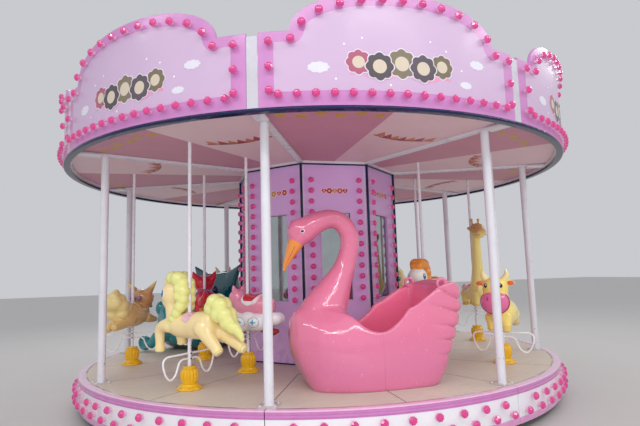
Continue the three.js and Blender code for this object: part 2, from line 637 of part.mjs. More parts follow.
const swan = carriage(SWAN_SECTOR);
add('swan_body', swanBody(), SWAN_PINK, swan);
add('swan_seat', swanSeat(), SEAT_PINK, swan);
const seaDragon = carriage(SEA_DRAGON_SECTOR);
add('sea_dragon_body', seaDragonBody(), moulded(0x1f6f78), seaDragon);
add('sea_dragon_seat', seaDragonSeat(), moulded(0x2a7c80), seaDragon);

RIDES.forEach(([name, form, row, , colour, lift], k) => {
  const seat = new THREE.Group();
  seat.applyMatrix4(seats[k].matrix);
  onDeck.add(seat);
  add(name, animal(form), moulded(colour), seat);
  add(`${name}_pole`, pole(row, lift), WHITE_PAINT, seat);
});

export default carousel;
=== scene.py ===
"""A small fairground carousel with moulded animals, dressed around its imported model."""

import bmesh
import bpy
import numpy as np
from mathutils import Matrix, Vector


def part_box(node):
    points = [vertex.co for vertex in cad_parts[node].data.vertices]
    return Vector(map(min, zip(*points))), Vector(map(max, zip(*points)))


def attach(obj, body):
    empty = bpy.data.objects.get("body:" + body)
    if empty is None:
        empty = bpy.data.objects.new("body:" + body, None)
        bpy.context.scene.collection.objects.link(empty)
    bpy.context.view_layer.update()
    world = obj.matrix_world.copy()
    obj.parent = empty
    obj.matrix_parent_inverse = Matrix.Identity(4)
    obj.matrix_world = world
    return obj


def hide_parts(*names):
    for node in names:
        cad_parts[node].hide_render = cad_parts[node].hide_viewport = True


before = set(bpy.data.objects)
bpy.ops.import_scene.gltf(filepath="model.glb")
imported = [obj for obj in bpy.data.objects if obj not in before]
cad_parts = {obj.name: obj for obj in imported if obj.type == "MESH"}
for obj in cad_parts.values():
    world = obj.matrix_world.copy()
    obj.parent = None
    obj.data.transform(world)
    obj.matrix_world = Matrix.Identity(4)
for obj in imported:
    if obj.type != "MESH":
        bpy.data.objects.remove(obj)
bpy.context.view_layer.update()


# The camera
# It stands where the photograph was taken from, 1.36 m above the floor and 6.5 m from the turning
# axis, and looks slightly up at the swan's side of the ride.
CAMERA_PLACE = Vector((-1.5486, -6.3024, 1.3551))
YAW, PITCH, ROLL = np.radians([14.288, 6.7626, -1.7346])
SENSOR_WIDTH, LENS = 36.0, 28.19


def stood(name, data, place=None, turn=None):
    """Puts an object in the scene, turned and then moved where it isn't in its own place."""
    made = bpy.data.objects.new(name, data)
    if place:
        made.matrix_world = Matrix.Translation(place) @ turn
    bpy.context.scene.collection.objects.link(made)
    return made


camera_data = bpy.data.cameras.new("camera")
camera_data.sensor_width, camera_data.lens = SENSOR_WIDTH, LENS
# A level right and a tilted forward from yaw and pitch, then right and up turned by roll.
level = np.array([np.cos(YAW), -np.sin(YAW), 0.0])
ahead = np.array([np.sin(YAW) * np.cos(PITCH), np.cos(YAW) * np.cos(PITCH), np.sin(PITCH)])
above = np.cross(level, ahead)
camera_axes = np.column_stack([level * np.cos(ROLL) + above * np.sin(ROLL),
                               above * np.cos(ROLL) - level * np.sin(ROLL), -ahead])
camera = stood("camera", camera_data, CAMERA_PLACE, Matrix(camera_axes.tolist()).to_4x4())
bpy.context.scene.camera = camera


# The studio
# A pale floor, an even pale surround, and long soft lights overhead like the roof lights of a
# hall, which draw the long bright streaks on glossy mouldings.
FLOOR_HALF = 40.0
FLOOR_COLOUR = (0.62, 0.60, 0.58)
SURROUND_COLOUR, SURROUND_STRENGTH = (0.93, 0.95, 1.0, 1.0), 0.62
# Each light: place, size along and across, power in watts, the point it looks at. The last is a
# broad fill that glossy surfaces don't mirror.
LIGHTS = [((-5.0, -5.5, 6.2), 9.0, 0.25, 75.0, (0.0, -1.0, 1.2)),
          ((-1.0, -7.5, 6.0), 9.0, 0.25, 75.0, (0.0, -1.0, 1.2)),
          ((3.5, -6.5, 6.2), 9.0, 0.25, 75.0, (0.0, -1.0, 1.2)),
          ((7.0, -2.5, 6.0), 9.0, 0.25, 75.0, (0.5, -0.5, 1.2)),
          ((0.0, 6.5, 6.5), 9.0, 0.6, 200.0, (0.0, 0.0, 1.4)),
          ((-1.8, -8.5, 1.4), 5.5, 2.6, 150.0, (0.0, 0.0, 0.9))]


class Wire:
    """A socket in a shader tree. Operators on wires add Math nodes, and node() adds any other."""

    def __init__(self, tree, socket=None):
        self.tree, self.socket = tree, socket

    def node(self, kind, settings=None, inputs=None, output=0):
        """Adds a node, with its settings first and then its sockets' values or links."""
        made = self.tree.nodes.new("ShaderNode" + kind)
        for key, value in (settings or {}).items():
            setattr(made, key, value)
        for key, value in (inputs or {}).items():
            socket = made.inputs[key]
            if isinstance(value, Wire):
                self.tree.links.new(value.socket, socket)
            else:
                socket.default_value = (*value[:3], 1.0) if socket.type == "RGBA" else value
        return Wire(self.tree, made.outputs[output] if len(made.outputs) else None)

    def math(self, operation, first, second=0.0):
        return self.node("Math", {"operation": operation}, {0: first, 1: second})

    __add__ = __radd__ = lambda self, other: self.math("ADD", self, other)
    __mul__ = __rmul__ = lambda self, other: self.math("MULTIPLY", self, other)
    __sub__ = lambda self, other: self.math("SUBTRACT", self, other)
    __rsub__ = lambda self, other: self.math("SUBTRACT", other, self)
    __truediv__ = lambda self, other: self.math("DIVIDE", self, other)
    __mod__ = lambda self, other: self.math("FLOORED_MODULO", self, other)
    __abs__ = lambda self: self.math("ABSOLUTE", self)

    def rise(self, edge, soft):
        """0 below edge - soft, 1 above edge + soft, and a smooth step between."""
        return self.node("MapRange", {"interpolation_type": "SMOOTHSTEP"},
                         {0: self, 1: edge - soft, 2: edge + soft})

    def blend(self, low, high):
        """The colour low where this wire is 0 and high where it is 1."""
        return self.node("Mix", {"data_type": "RGBA"}, {0: self, 6: low, 7: high}, 2)

    def tint(self, colour):
        """This wire's colour times another."""
        return self.node("Mix", {"data_type": "RGBA", "blend_type": "MULTIPLY"},
                         {0: 1.0, 6: self, 7: colour}, 2)

    def here(self):
        """Object coordinates."""
        return self.node("TexCoord", output="Object")

    def axis(self, name):
        """One Object coordinate."""
        return self.node("SeparateXYZ", None, {0: self.here()}, name)

    def noise(self, scale, detail=3.0, place=None, roughness=0.55):
        """Cloudy noise from 0 to 1 in Object coordinates, its cells about 1 / scale metres."""
        return self.node("TexNoise", None, {"Vector": place or self.here(), "Scale": scale,
                                            "Detail": detail, "Roughness": roughness})

    def paint(self):
        """The colours painted on a mesh's points."""
        return self.node("Attribute", {"attribute_name": "paint"})

    def close(self, base, rough, coat=(0.0, 0.03), height=None, depth=0.001, more=()):
        """Ends the tree in a Principled surface: base colour, roughness, the coat's weight and
        roughness, bump of height times depth metres, and more sockets by name."""
        inputs = {"Base Color": base, "Roughness": rough, "Coat Weight": coat[0],
                  "Coat Roughness": coat[1], **dict(more)}
        if height is not None:
            inputs["Normal"] = self.node("Bump", None, {"Distance": depth, "Height": height}, "Normal")
        self.node("OutputMaterial", None, {"Surface": self.node("BsdfPrincipled", None, inputs)})


def finish(draw):
    """Turns a function that draws a finish on a wire into one that makes a named material."""
    def make(name, *settings):
        material = bpy.data.materials.new(name)
        material.use_nodes = True
        material.node_tree.nodes.clear()
        draw(Wire(material.node_tree), *settings)
        return material
    return make


@finish
def matt_floor(wire):
    """Matt paint with a faint cloudy unevenness."""
    wire.close(wire.noise(0.8, 4.0).blend([0.93 * value for value in FLOOR_COLOUR], FLOOR_COLOUR), 0.6)


floor_mesh = bpy.data.meshes.new("studio_floor")
floor_mesh.from_pydata([(x * FLOOR_HALF, y * FLOOR_HALF, 0) for x, y in [(-1, -1), (1, -1), (1, 1), (-1, 1)]],
                       [], [(0, 1, 2, 3)])
floor_mesh.materials.append(matt_floor("studio_floor"))
stood("studio_floor", floor_mesh)
for place, length, width, power, target in LIGHTS:
    light = bpy.data.lights.new("soft_light", "AREA")
    light.shape, light.size, light.size_y, light.energy = "RECTANGLE", length, width, power
    aim = (Vector(target) - Vector(place)).to_track_quat("-Z", "Y")
    fill = stood("soft_light", light, place, aim.to_matrix().to_4x4())
fill.visible_glossy = False
bpy.context.scene.view_settings.view_transform = "Standard"
surround = bpy.data.worlds.new("surround")
surround.use_nodes = True
surround.node_tree.nodes["Background"].inputs["Color"].default_value = SURROUND_COLOUR
surround.node_tree.nodes["Background"].inputs["Strength"].default_value = SURROUND_STRENGTH
bpy.context.scene.world = surround


# The frames under the deck
# A fixed base of welded box section on pads, and the frame that turns on it. Both are painted
# dark grey, and almost nothing of them shows behind the skirt.


def seen(red, green, blue):
    """A colour as seen on a screen, 0 to 255, in linear light."""
    value = np.array([red, green, blue]) / 255.0
    return tuple(np.where(value <= 0.04045, value / 12.92, ((value + 0.055) / 1.055) ** 2.4))


@finish
def steel_paint(wire):
    grime = wire.noise(7.0, 5.0)
    wire.close(grime.blend(seen(58, 61, 66), seen(88, 84, 80)), grime * 0.3 + 0.4,
               height=wire.noise(160.0), depth=0.0006, more={"Metallic": 0.3})


def finish_node(name, material):
    """Gives a CAD node that stays its finish."""
    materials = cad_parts[name].data.materials
    materials.clear()
    materials.append(material)


dark_steel = steel_paint("steel_paint")
finish_node("base_frame", dark_steel)
finish_node("turning_frame", dark_steel)


# The deck sheet
# Worn sheet flooring in wedges that meet at radial seams, screwed down on the turning frame and
# scuffed pale by shoes. One flat disc, with its seams sunk in the finish.
SECTORS = 8
SECTOR = 2 * np.pi / SECTORS
FIRST_POST = -np.pi / 2 - SECTOR / 2
DECK_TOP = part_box("post_1")[0].z
DECK_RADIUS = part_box("deck")[1].x
DECK_THICKNESS, DECK_SINK = 0.02, 0.0004
DECK_SEAMS, SEAM_WIDTH = 16, 0.004
RIM_STEPS = 192


def surface(points, round_rows=False, round_columns=False):
    """A grid of points, rows by columns, as a shell: its points, and the four corner numbers of
    each cell. The grid may close on itself each way."""
    rows, columns = points.shape[:2]
    row, column = np.meshgrid(np.arange(rows if round_rows else rows - 1),
                              np.arange(columns if round_columns else columns - 1), indexing="ij")
    below, right = (row + 1) % rows, (column + 1) % columns
    corners = [row * columns + column, below * columns + column, below * columns + right,
               row * columns + right]
    return points.reshape(-1, 3), np.stack(corners, -1).reshape(-1, 4)


def drawn_in(points, axis=0):
    """Closes a grid at both ends of an axis, each end drawn together at its middle."""
    points = np.moveaxis(points, axis, 0)
    ends = points[[0, -1]].mean(1, keepdims=True) + 0 * points[[0, -1]]
    return np.moveaxis(np.concatenate([ends[:1], points, ends[1:]]), 0, axis)


def polar(radius, angle, height):
    """x = r cos a, y = r sin a, z = height."""
    return np.stack(np.broadcast_arrays(radius * np.cos(angle), radius * np.sin(angle), height), -1)


def turned(profile, steps=RIM_STEPS, start=0.0, sweep=2 * np.pi, ring=False):
    """A profile of (radius, height) carried round Z. A ring's profile closes on itself, and any
    other starts and ends on the axis. A part turn's ends are drawn in."""
    whole = np.isclose(sweep, 2 * np.pi)
    angle = start + np.linspace(0, sweep, steps, endpoint=not whole)[:, None]
    radius, height = np.array(profile, float).T[:, None, :]
    points = polar(radius, angle, height)
    return surface(points if whole else drawn_in(points), round_rows=whole, round_columns=ring)


def slab(inner, outer, low, high, steps=RIM_STEPS, start=0.0):
    """A flat ring between two radii and two heights, or a disc where the inner radius is 0."""
    return turned([(inner, low), (outer, low), (outer, high), (inner, high)], steps, start,
                  ring=inner > 0)


def mesh_of(name, shells, crease):
    """A mesh from shells, its doubled points merged and its faces turned outwards."""
    starts = np.cumsum([0] + [len(shell[0]) for shell in shells[:-1]])
    points = np.concatenate([shell[0] for shell in shells])
    cells = np.concatenate([shell[1] + start for shell, start in zip(shells, starts)])
    mesh = bpy.data.meshes.new(name)
    mesh.vertices.add(len(points))
    mesh.vertices.foreach_set("co", points.astype(np.float32).ravel())
    mesh.loops.add(cells.size)
    mesh.loops.foreach_set("vertex_index", cells.astype(np.int32).ravel())
    mesh.polygons.add(len(cells))
    mesh.polygons.foreach_set("loop_start", np.arange(0, cells.size, 4, dtype=np.int32))
    mesh.update(calc_edges=True)
    if len(shells[0]) == 3:
        colours = np.concatenate([shell[2] for shell in shells])
        mesh.attributes.new("paint", "FLOAT_COLOR", "POINT").data.foreach_set(
            "color", np.column_stack([colours, np.ones(len(colours))]).astype(np.float32).ravel())
    work = bmesh.new()
    work.from_mesh(mesh)
    bmesh.ops.remove_doubles(work, verts=work.verts, dist=2e-5)
    bmesh.ops.recalc_face_normals(work, faces=work.faces)
    work.to_mesh(mesh)
    work.free()
    mesh.polygons.foreach_set("use_smooth", np.ones(len(mesh.polygons), bool))
    mesh.set_sharp_from_angle(angle=np.radians(crease))
    return mesh


def piece(name, material, shells, replaces=None, crease=35.0, body="turntable"):
    """A finished piece that rides on a body, takes a material and may replace a CAD node."""
    mesh = mesh_of(name, shells, crease)
    mesh.materials.append(material)
    made = stood(name, mesh)
    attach(made, body)
    if replaces:
        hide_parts(replaces)


def sector_angle(wire):
    """The angle about Z in sectors, counted from the first post."""
    return (wire.math("ARCTAN2", wire.axis("Y"), wire.axis("X")) - FIRST_POST) / SECTOR


@finish
def deck_finish(wire):
    """Sheet smeared by shoes, with fine scratches, crumbs, painted shade along the rim and dark seams."""
    x, y = wire.axis("X"), wire.axis("Y")
    radius = wire.math("SQRT", x * x + y * y)
    wedge = sector_angle(wire) * (DECK_SEAMS / SECTORS) % 1.0
    off_seam = (0.5 - abs(wedge - 0.5)) * radius * (2 * np.pi / DECK_SEAMS)
    seam = 1 - off_seam.rise(SEAM_WIDTH, SEAM_WIDTH / 2)
    smears = wire.noise(2.2, 6.0, roughness=0.7)
    stroked = wire.node("Mapping", None, {"Vector": wire.here(), "Rotation": (0, 0, 0.5),
                                          "Scale": (9, 60, 1)})
    grain = wire.noise(1.5, 4.0, stroked)
    crumbs = wire.noise(55.0, 2.0).rise(0.7, 0.03)
    base = smears.blend(seen(214, 202, 184), seen(240, 229, 213))
    base = (grain.rise(0.45, 0.3) * 0.3).blend(base, seen(170, 158, 148))
    base = radius.rise(1.35, 0.35).blend(seen(190, 170, 166), base)
    # Painted shade: dark patches just inside the rim, where the sheet's edge meets the edge moulding.
    rim_gap_shade = radius.rise(DECK_RADIUS - 0.034, 0.006) * wire.noise(7.0, 3.0).rise(0.46, 0.05)
    base = (rim_gap_shade * 0.8).blend(base, seen(120, 100, 96))
    base = (crumbs * 0.6).blend(base, seen(240, 234, 228))
    base = (seam * 0.85).blend(base, seen(66, 56, 54))
    wire.close(base, smears * 0.25 + 0.38, height=grain * 0.3 - seam * 3.0, depth=0.0008)


piece("deck_sheet", deck_finish("deck_finish"),
      [slab(0, DECK_RADIUS, DECK_TOP - DECK_THICKNESS, DECK_TOP - DECK_SINK)], "deck", 20)


# The deck's edge
# Eight moulded lengths with a glossy pale pink lip over a mauve band with two shallow ridges.
# They butt under the posts, with an open joint a few millimetres wide.
EDGE_BOTTOM, EDGE_TOP = (corner.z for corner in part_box("deck_edge"))
EDGE_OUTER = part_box("deck_edge")[1].x
JOINT_GAP, FOLD_WIDTH, LIP_DEPTH = 0.007, 0.022, 0.013


def carried(shell, angle, shift=(0, 0, 0)):
    """A shell turned about Z by an angle, then moved."""
    cosine, sine = np.cos(angle), np.sin(angle)
    turn = np.array([[cosine, -sine, 0], [sine, cosine, 0], [0, 0, 1]])
    return (shell[0] @ turn.T + np.array(shift), *shell[1:])


def ringed(*shells):
    """Shells repeated about Z, once in each of the eight sectors."""
    return [carried(shell, k * SECTOR) for k in range(SECTORS) for shell in shells]


def sector_parts(profile, steps=26):
    """A closed profile carried along each of the eight sectors, with an open joint between."""
    short = JOINT_GAP / 2 / EDGE_OUTER
    return ringed(turned(profile, steps, FIRST_POST + short, SECTOR - 2 * short, ring=True))


def edge_profile():
    """Up the inner side, over a fold on the sheet, round the lip, down two ridges and under."""
    ridges = np.linspace(EDGE_TOP - LIP_DEPTH - 0.002, EDGE_BOTTOM + 0.004, 17)
    band = [(EDGE_OUTER - 0.0035 - 0.0015 * np.cos(turn), z)
            for turn, z in zip(np.linspace(0, 4 * np.pi, 17), ridges)]
    lip = [(EDGE_OUTER - 0.006, EDGE_TOP), (EDGE_OUTER - 0.002, EDGE_TOP - 0.002),
           (EDGE_OUTER, EDGE_TOP - 0.006), (EDGE_OUTER, EDGE_TOP - LIP_DEPTH + 0.002)]
    sheet = [(0.0003, -0.018), (0.0003, 0), (-FOLD_WIDTH, -0.0002), (-FOLD_WIDTH, 0.001),
             (0.001 - FOLD_WIDTH, 0.0015), (0.001, 0.0015)]
    inner = EDGE_OUTER - 0.024
    return [*(np.array(sheet) + (DECK_RADIUS, DECK_TOP)), *lip, *band,
            (EDGE_OUTER - 0.005, EDGE_BOTTOM), (inner, EDGE_BOTTOM), (inner, DECK_TOP - 0.018)]


@finish
def edge_finish(wire):
    scuffs = wire.noise(14.0, 5.0)
    lip = scuffs.blend(seen(232, 176, 214), seen(244, 198, 226))
    band = scuffs.blend(seen(192, 112, 178), seen(210, 136, 196))
    below_lip = 1 - wire.axis("Z").rise(EDGE_TOP - LIP_DEPTH, 0.001)
    wire.close(below_lip.blend(lip, band), scuffs * 0.2 + 0.12, (0.6, 0.05), wire.noise(220.0), 0.0002)


piece("deck_lip", edge_finish("edge_finish"), sector_parts(edge_profile()), "deck_edge")


# The skirt
# White gel-coated panels below the deck's edge, each with a pink foot band, and two staggered
# rows of pink plastic lamp caps clipped into them.
SKIRT_BOTTOM, SKIRT_TOP = (corner.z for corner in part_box("skirt"))
SKIRT_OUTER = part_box("skirt")[1].x
SKIRT_INNER = SKIRT_OUTER - 0.017
FOOT_BAND = 0.053
# Each row of lamps: how far below the deck's top, and its places along a sector.
SKIRT_LAMPS = [(0.107, np.arange(1, 10) / 10), (0.202, np.arange(0.05, 1.0, 0.1))]
# A lamp cap's outline, distance from its middle and height above its seat: a pale holder, then
# a mushroom of coloured plastic. Then each point's colour.
LAMP_OUTLINE = np.array([(0, -0.002), (0.018, -0.002), (0.0175, 0.020), (0.0325, 0.030),
                         (0.0325, 0.046), (0.020, 0.060), (0, 0.0655)])
LAMP_PAINT = [seen(236, 190, 212)] * 3 + [seen(242, 128, 190)] + [seen(226, 66, 146)] * 3
LAMP_SIDES = 8


def skirt_profile():
    """A flat panel with a band 4 mm proud along its foot."""
    bottom, band = SKIRT_BOTTOM, SKIRT_BOTTOM + FOOT_BAND
    return [(SKIRT_INNER, bottom), (SKIRT_OUTER + 0.002, bottom), (SKIRT_OUTER + 0.004, bottom + 0.004),
            (SKIRT_OUTER + 0.004, band - 0.003), (SKIRT_OUTER + 0.001, band),
            (SKIRT_OUTER, band + 0.001), (SKIRT_OUTER, SKIRT_TOP), (SKIRT_INNER, SKIRT_TOP)]


@finish
def skirt_finish(wire):
    height = wire.axis("Z")
    band = 1 - height.rise(SKIRT_BOTTOM + FOOT_BAND, 0.001)
    cloud = wire.noise(4.0, 5.0)
    dirt = (1 - height.rise(SKIRT_BOTTOM + 0.09, 0.09)) * wire.noise(11.0, 6.0)
    white = cloud.blend(seen(232, 230, 238), seen(246, 246, 250))
    pink = cloud.blend(seen(228, 150, 205), seen(236, 170, 216))
    wire.close((dirt * 0.25).blend(band.blend(white, pink), seen(150, 135, 130)), cloud * 0.15 + 0.15,
               (0.5, 0.06), wire.noise(5.0, 2.0), 0.0015)


@finish
def lamp_finish(wire):
    """Plastic, part see-through, in the colours of the holder, the rim and the front."""
    pink = wire.noise(60.0, 1.0).blend((0.85, 0.85, 0.85), (1.05, 1.05, 1.05)).tint(wire.paint())
    wire.close(pink, 0.12, (0.7, 0.03), more={"Transmission Weight": 0.2, "Emission Color": pink,
                                              "Emission Strength": 0.10})


def painted(shell, colour):
    """A shell with a colour on each of its points: one colour, or a row for each point."""
    return shell[0], shell[1], np.broadcast_to(np.array(colour, float), shell[0].shape)


def lamps(radius, angle, height):
    """The lamp outline turned about the outward direction at each angle, all caps in one array."""
    angle, height = np.broadcast_arrays(angle, height)
    turn = np.linspace(0, 2 * np.pi, LAMP_SIDES, endpoint=False) + np.pi / LAMP_SIDES
    reach, rise = LAMP_OUTLINE.T[:, None, :, None]
    outward, sideways = (polar(1.0, angle + shift, 0.0)[:, None, None] for shift in (0, np.pi / 2))
    caps = (polar(radius, angle, height)[:, None, None] + rise[..., None] * outward
            + reach[..., None] * (np.cos(turn)[:, None] * sideways + np.sin(turn)[:, None] * [0, 0, 1]))
    paint = np.repeat(LAMP_PAINT, LAMP_SIDES, axis=0)
    return [painted(surface(cap, round_columns=True), paint) for cap in caps]


piece("skirt_panels", skirt_finish("skirt_finish"), sector_parts(skirt_profile()), "skirt")
lamp_pink = lamp_finish("lamp_finish")
piece("skirt_lamps", lamp_pink,
      ringed(*[cap for drop, row in SKIRT_LAMPS
               for cap in lamps(SKIRT_OUTER, FIRST_POST + row * SECTOR, DECK_TOP - drop)]), crease=15)


# The posts
# Eight steel tubes painted white, welded to square plates that are bolted to the deck.
POST_CIRCLE, POST_RADIUS = 2.6, 0.038
POST_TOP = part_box("post_1")[1].z
PLATE_HALF, PLATE_THICKNESS, PLATE_CORNER = 0.079, 0.008, 0.022
BOLT_INSET = 0.021


@finish
def white_paint(wire, worn):
    """Sprayed white enamel, knocked grey near the deck, with shoe dust on the foot plates."""
    cloud = wire.noise(6.0, 5.0)
    low = 1 - wire.axis("Z").rise(DECK_TOP + 0.25, 0.25)
    plate = 1 - wire.axis("Z").rise(DECK_TOP + PLATE_THICKNESS + 0.0015, 0.0005)
    knocks = wire.noise(30.0, 5.0).rise(0.66, 0.04) * low * worn
    base = cloud.blend(seen(214, 212, 220), seen(232, 231, 237))
    base = (plate * 0.8).blend(base, seen(190, 180, 174))
    wire.close(knocks.blend(base, seen(140, 128, 118)), cloud * 0.2 + 0.2, (0.3, 0.1),
               wire.noise(120.0, 2.0), 0.0003)


def stacked(outline, rows):
    """An outline of (x, y) points repeated at rows of (share, height), drawn at each row to that
    share of its size about its own middle."""
    outline = np.array(outline, float)
    middle = outline.mean(0)
    return surface(np.array([np.column_stack([middle + (outline - middle) * share,
                                              np.full(len(outline), z)]) for share, z in rows]),
                   round_columns=True)


def prism(outline, low, high, bevel=0.0):
    """An outline from low to high, its top edge eased."""
    return stacked(outline, [(0, low), (1, low), (1, high - bevel), (1 - bevel / 0.05, high), (0, high)])


def rounded_square(half, corner, steps=5):
    """A square with its corners as quarter circles."""
    quarter = polar(corner, np.linspace(0, np.pi / 2, steps), 0)[:, :2] + (half - corner)
    turns = [np.array([[0, -1], [1, 0]]), -np.eye(2), np.array([[0, 1], [-1, 0]])]
    return np.concatenate([quarter] + [quarter @ turned_by.T for turned_by in turns])


def circle(radius, sides, middle=(0, 0)):
    return polar(radius, np.linspace(0, 2 * np.pi, sides, endpoint=False), 0)[:, :2] + middle


def post_shells():
    """A tube with a weld bead on a plate with four bolts, about its own middle."""
    offset, plate = PLATE_HALF - BOLT_INSET, PLATE_THICKNESS
    top = POST_TOP - DECK_TOP
    shells = [turned([(0, plate), (POST_RADIUS + 0.006, plate), (POST_RADIUS + 0.004, 0.0115),
                      (POST_RADIUS, 0.014), (POST_RADIUS, top), (0, top)], 28),
              prism(rounded_square(PLATE_HALF, PLATE_CORNER), 0, plate, 0.001)]
    for middle in [(offset, offset), (-offset, offset), (-offset, -offset), (offset, -offset)]:
        shells += [prism(circle(0.0125, 16, middle), plate, plate + 0.002),
                   prism(circle(0.0085, 6, middle), plate, plate + 0.0085, 0.001)]
    return shells


post_white = white_paint("post_white", 1.0)
for k in range(SECTORS):
    azimuth = FIRST_POST + k * SECTOR
    piece(f"post_tube_{k + 1}", post_white,
          [carried(shell, azimuth, polar(POST_CIRCLE, azimuth, DECK_TOP)) for shell in post_shells()],
          f"post_{k + 1}")


# The canopy frame
# Eight white beams of shallow box section run from a collar on the column to an outer ring. Under
# each hangs a strip of bent wire loops, and a wider end cover boxes in the beam outside its post.
CANOPY_BOTTOM = POST_TOP + 0.0003
BEAM_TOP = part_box("ceiling")[0].z - 0.0003
RING_BOTTOM, RING_TOP = (corner.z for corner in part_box("canopy_frame"))
RING_INNER, RING_OUTER = 2.862, 2.906
BEAM_HALF, END_COVER_HALF = 0.0325, 0.055
COLUMN_CORNER = 0.996
COLUMN_FACE = COLUMN_CORNER * np.cos(SECTOR / 2)
LOOP_PITCH, LOOP_RADIUS, LOOP_WIRE = 0.08, 0.036, 0.003


def bar(x0, x1, half, low, high, ease=0.003):
    """A straight bar along X with eased long edges."""
    section = [(half, low + ease), (half - ease, low), (-half + ease, low), (-half, low + ease),
               (-half, high - ease), (-half + ease, high), (half - ease, high), (half, high - ease)]
    points, cells = stacked(section, [(0, x0), (1, x0), (1, x1), (0, x1)])
    return points[:, [2, 0, 1]], cells


def tube(path, radius, sides=8, closed=False):
    """A round section carried along a path: each ring lies across the path's own direction."""
    path = np.array(path, float)
    ahead = np.roll(path, -1, 0) if closed else np.concatenate([path[1:], path[-1:]])
    behind = np.roll(path, 1, 0) if closed else np.concatenate([path[:1], path[:-1]])
    along = ahead - behind
    along /= np.linalg.norm(along, axis=1, keepdims=True)
    side = np.eye(3)[np.argmin(np.ptp(path, axis=0))]
    across = side - along * (along @ side)[:, None]
    across /= np.linalg.norm(across, axis=1, keepdims=True)
    upward = np.cross(along, across)
    turn = np.linspace(0, 2 * np.pi, sides, endpoint=False)[:, None]
    radius = np.broadcast_to(radius, len(path))[:, None, None]
    rings = path[:, None] + radius * (np.cos(turn) * across[:, None] + np.sin(turn) * upward[:, None])
    return surface(rings if closed else drawn_in(rings), round_rows=closed, round_columns=True)


def loop_strip(start, end):
    """A wire of half loops that hang side by side: sideways = |sin| of the way along ** 0.6."""
    count = int((end - start) / LOOP_PITCH)
    along = np.linspace(0, count, count * 8 + 1)
    y = np.abs(np.sin(np.pi * along)) ** 0.6 * LOOP_RADIUS
    level = np.full_like(y, CANOPY_BOTTOM - LOOP_WIRE)
    return [tube(np.stack([start + along * LOOP_PITCH, side * (y - LOOP_RADIUS / 2), level], -1),
                 LOOP_WIRE, 5) for side in (-1, 1)]


inner = (COLUMN_FACE + 0.0005) / np.cos(SECTOR / 2)
canopy_shells = [
    slab(inner, inner + 0.034, CANOPY_BOTTOM, BEAM_TOP, SECTORS, FIRST_POST),
    slab(RING_INNER, RING_OUTER, RING_BOTTOM, RING_TOP),
    *[carried(shell, FIRST_POST) for shell in ringed(
        bar(inner + 0.02, RING_INNER + 0.01, BEAM_HALF, CANOPY_BOTTOM, BEAM_TOP),
        bar(POST_CIRCLE + POST_RADIUS + 0.01, RING_INNER + 0.01, END_COVER_HALF,
            CANOPY_BOTTOM - 0.012, CANOPY_BOTTOM + 0.01))]]
canopy_white = white_paint("canopy_white", 0.0)
piece("canopy_beams", canopy_white, canopy_shells, "canopy_frame")
piece("beam_loops", canopy_white, [
    carried(strip, FIRST_POST) for strip in ringed(*loop_strip(COLUMN_CORNER + 0.08, POST_CIRCLE - 0.1))])


# The ceiling
# Printed lining sheet above the beams: in every bay one half is dusky pink with a row of yellow
# flags near the rim, and the other is pale with red pennants on a string.
CEILING_LOW, CEILING_HIGH = (corner.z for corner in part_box("ceiling"))
PRINT = 0.0008
FLAG_CIRCLE, PENNANT_STRING = 2.645, 1.95


@finish
def ceiling_finish(wire):
    half = (sector_angle(wire) % 1.0).rise(0.5, 0.002)
    cloud = wire.noise(3.0, 5.0)
    pink = cloud.blend(seen(196, 134, 156), seen(212, 152, 172))
    pale = cloud.blend(seen(228, 196, 204), seen(240, 214, 220))
    wire.close(half.blend(pink, pale), cloud * 0.15 + 0.42, height=wire.noise(5.0, 3.0), depth=0.004)


@finish
def printed(wire, roughness=0.4):
    """Printed sheet or gloss paint in several colours, taken from its points."""
    cloud = wire.noise(18.0, 4.0)
    wire.close(cloud.blend((0.92, 0.92, 0.92), (1.05, 1.05, 1.05)).tint(wire.paint()),
               cloud * 0.2 + (roughness - 0.1), height=wire.noise(5.0, 3.0))


def sticker(outline, lift=PRINT):
    """A flat closed scrap with an outline of (x, y) points about its middle, lift thick."""
    return stacked(outline, [(0, lift), (0.5, lift), (1, lift), (1, -lift / 2), (0, -lift / 2)])


def dyed(shell, red, green, blue):
    """A shell in one colour, as seen on a screen."""
    return painted(shell, seen(red, green, blue))


def under_ceiling(outline, radius, share, colour):
    """A scrap at a radius and a share of the first bay on the ceiling's underside, facing down,
    with its outline's (x, y) as (outwards, sideways)."""
    shell = sticker(np.array(outline) + (radius, 0))
    flipped = shell[0] * (1, 1, -1) + (0, 0, CEILING_LOW), shell[1]
    return dyed(carried(flipped, FIRST_POST + share * SECTOR), *colour)


share = np.linspace(0, 1, 25)
string = polar(PENNANT_STRING + 0.5 * (share - 0.5) ** 2, FIRST_POST + (0.54 + 0.42 * share) * SECTOR,
               CEILING_LOW - 0.001)
prints = [under_ceiling([(-0.044, -0.04), (0.036, -0.048), (0.044, 0.036), (-0.036, 0.044)],
                        FLAG_CIRCLE - 0.04 * (n % 2), 0.07 + 0.078 * n, (200, 160, 50)) for n in range(6)]
prints += [under_ceiling([(0.0, -0.06), (0.13, 0.0), (0.0, 0.06)],
                         PENNANT_STRING + 0.5 * ((n + 0.5) / 7 - 0.5) ** 2, 0.55 + 0.4 * (n + 0.5) / 7,
                         (176, 42, 58) if n % 2 else (206, 120, 70)) for n in range(7)]
prints.append(dyed(tube(string, 0.003, 5), 120, 60, 66))
piece("ceiling_sheet", ceiling_finish("ceiling_finish"),
      [slab(0, RING_INNER - 0.0005, CEILING_LOW, CEILING_HIGH)], "ceiling", 20)
piece("ceiling_prints", printed("ceiling_ink"), ringed(*prints))


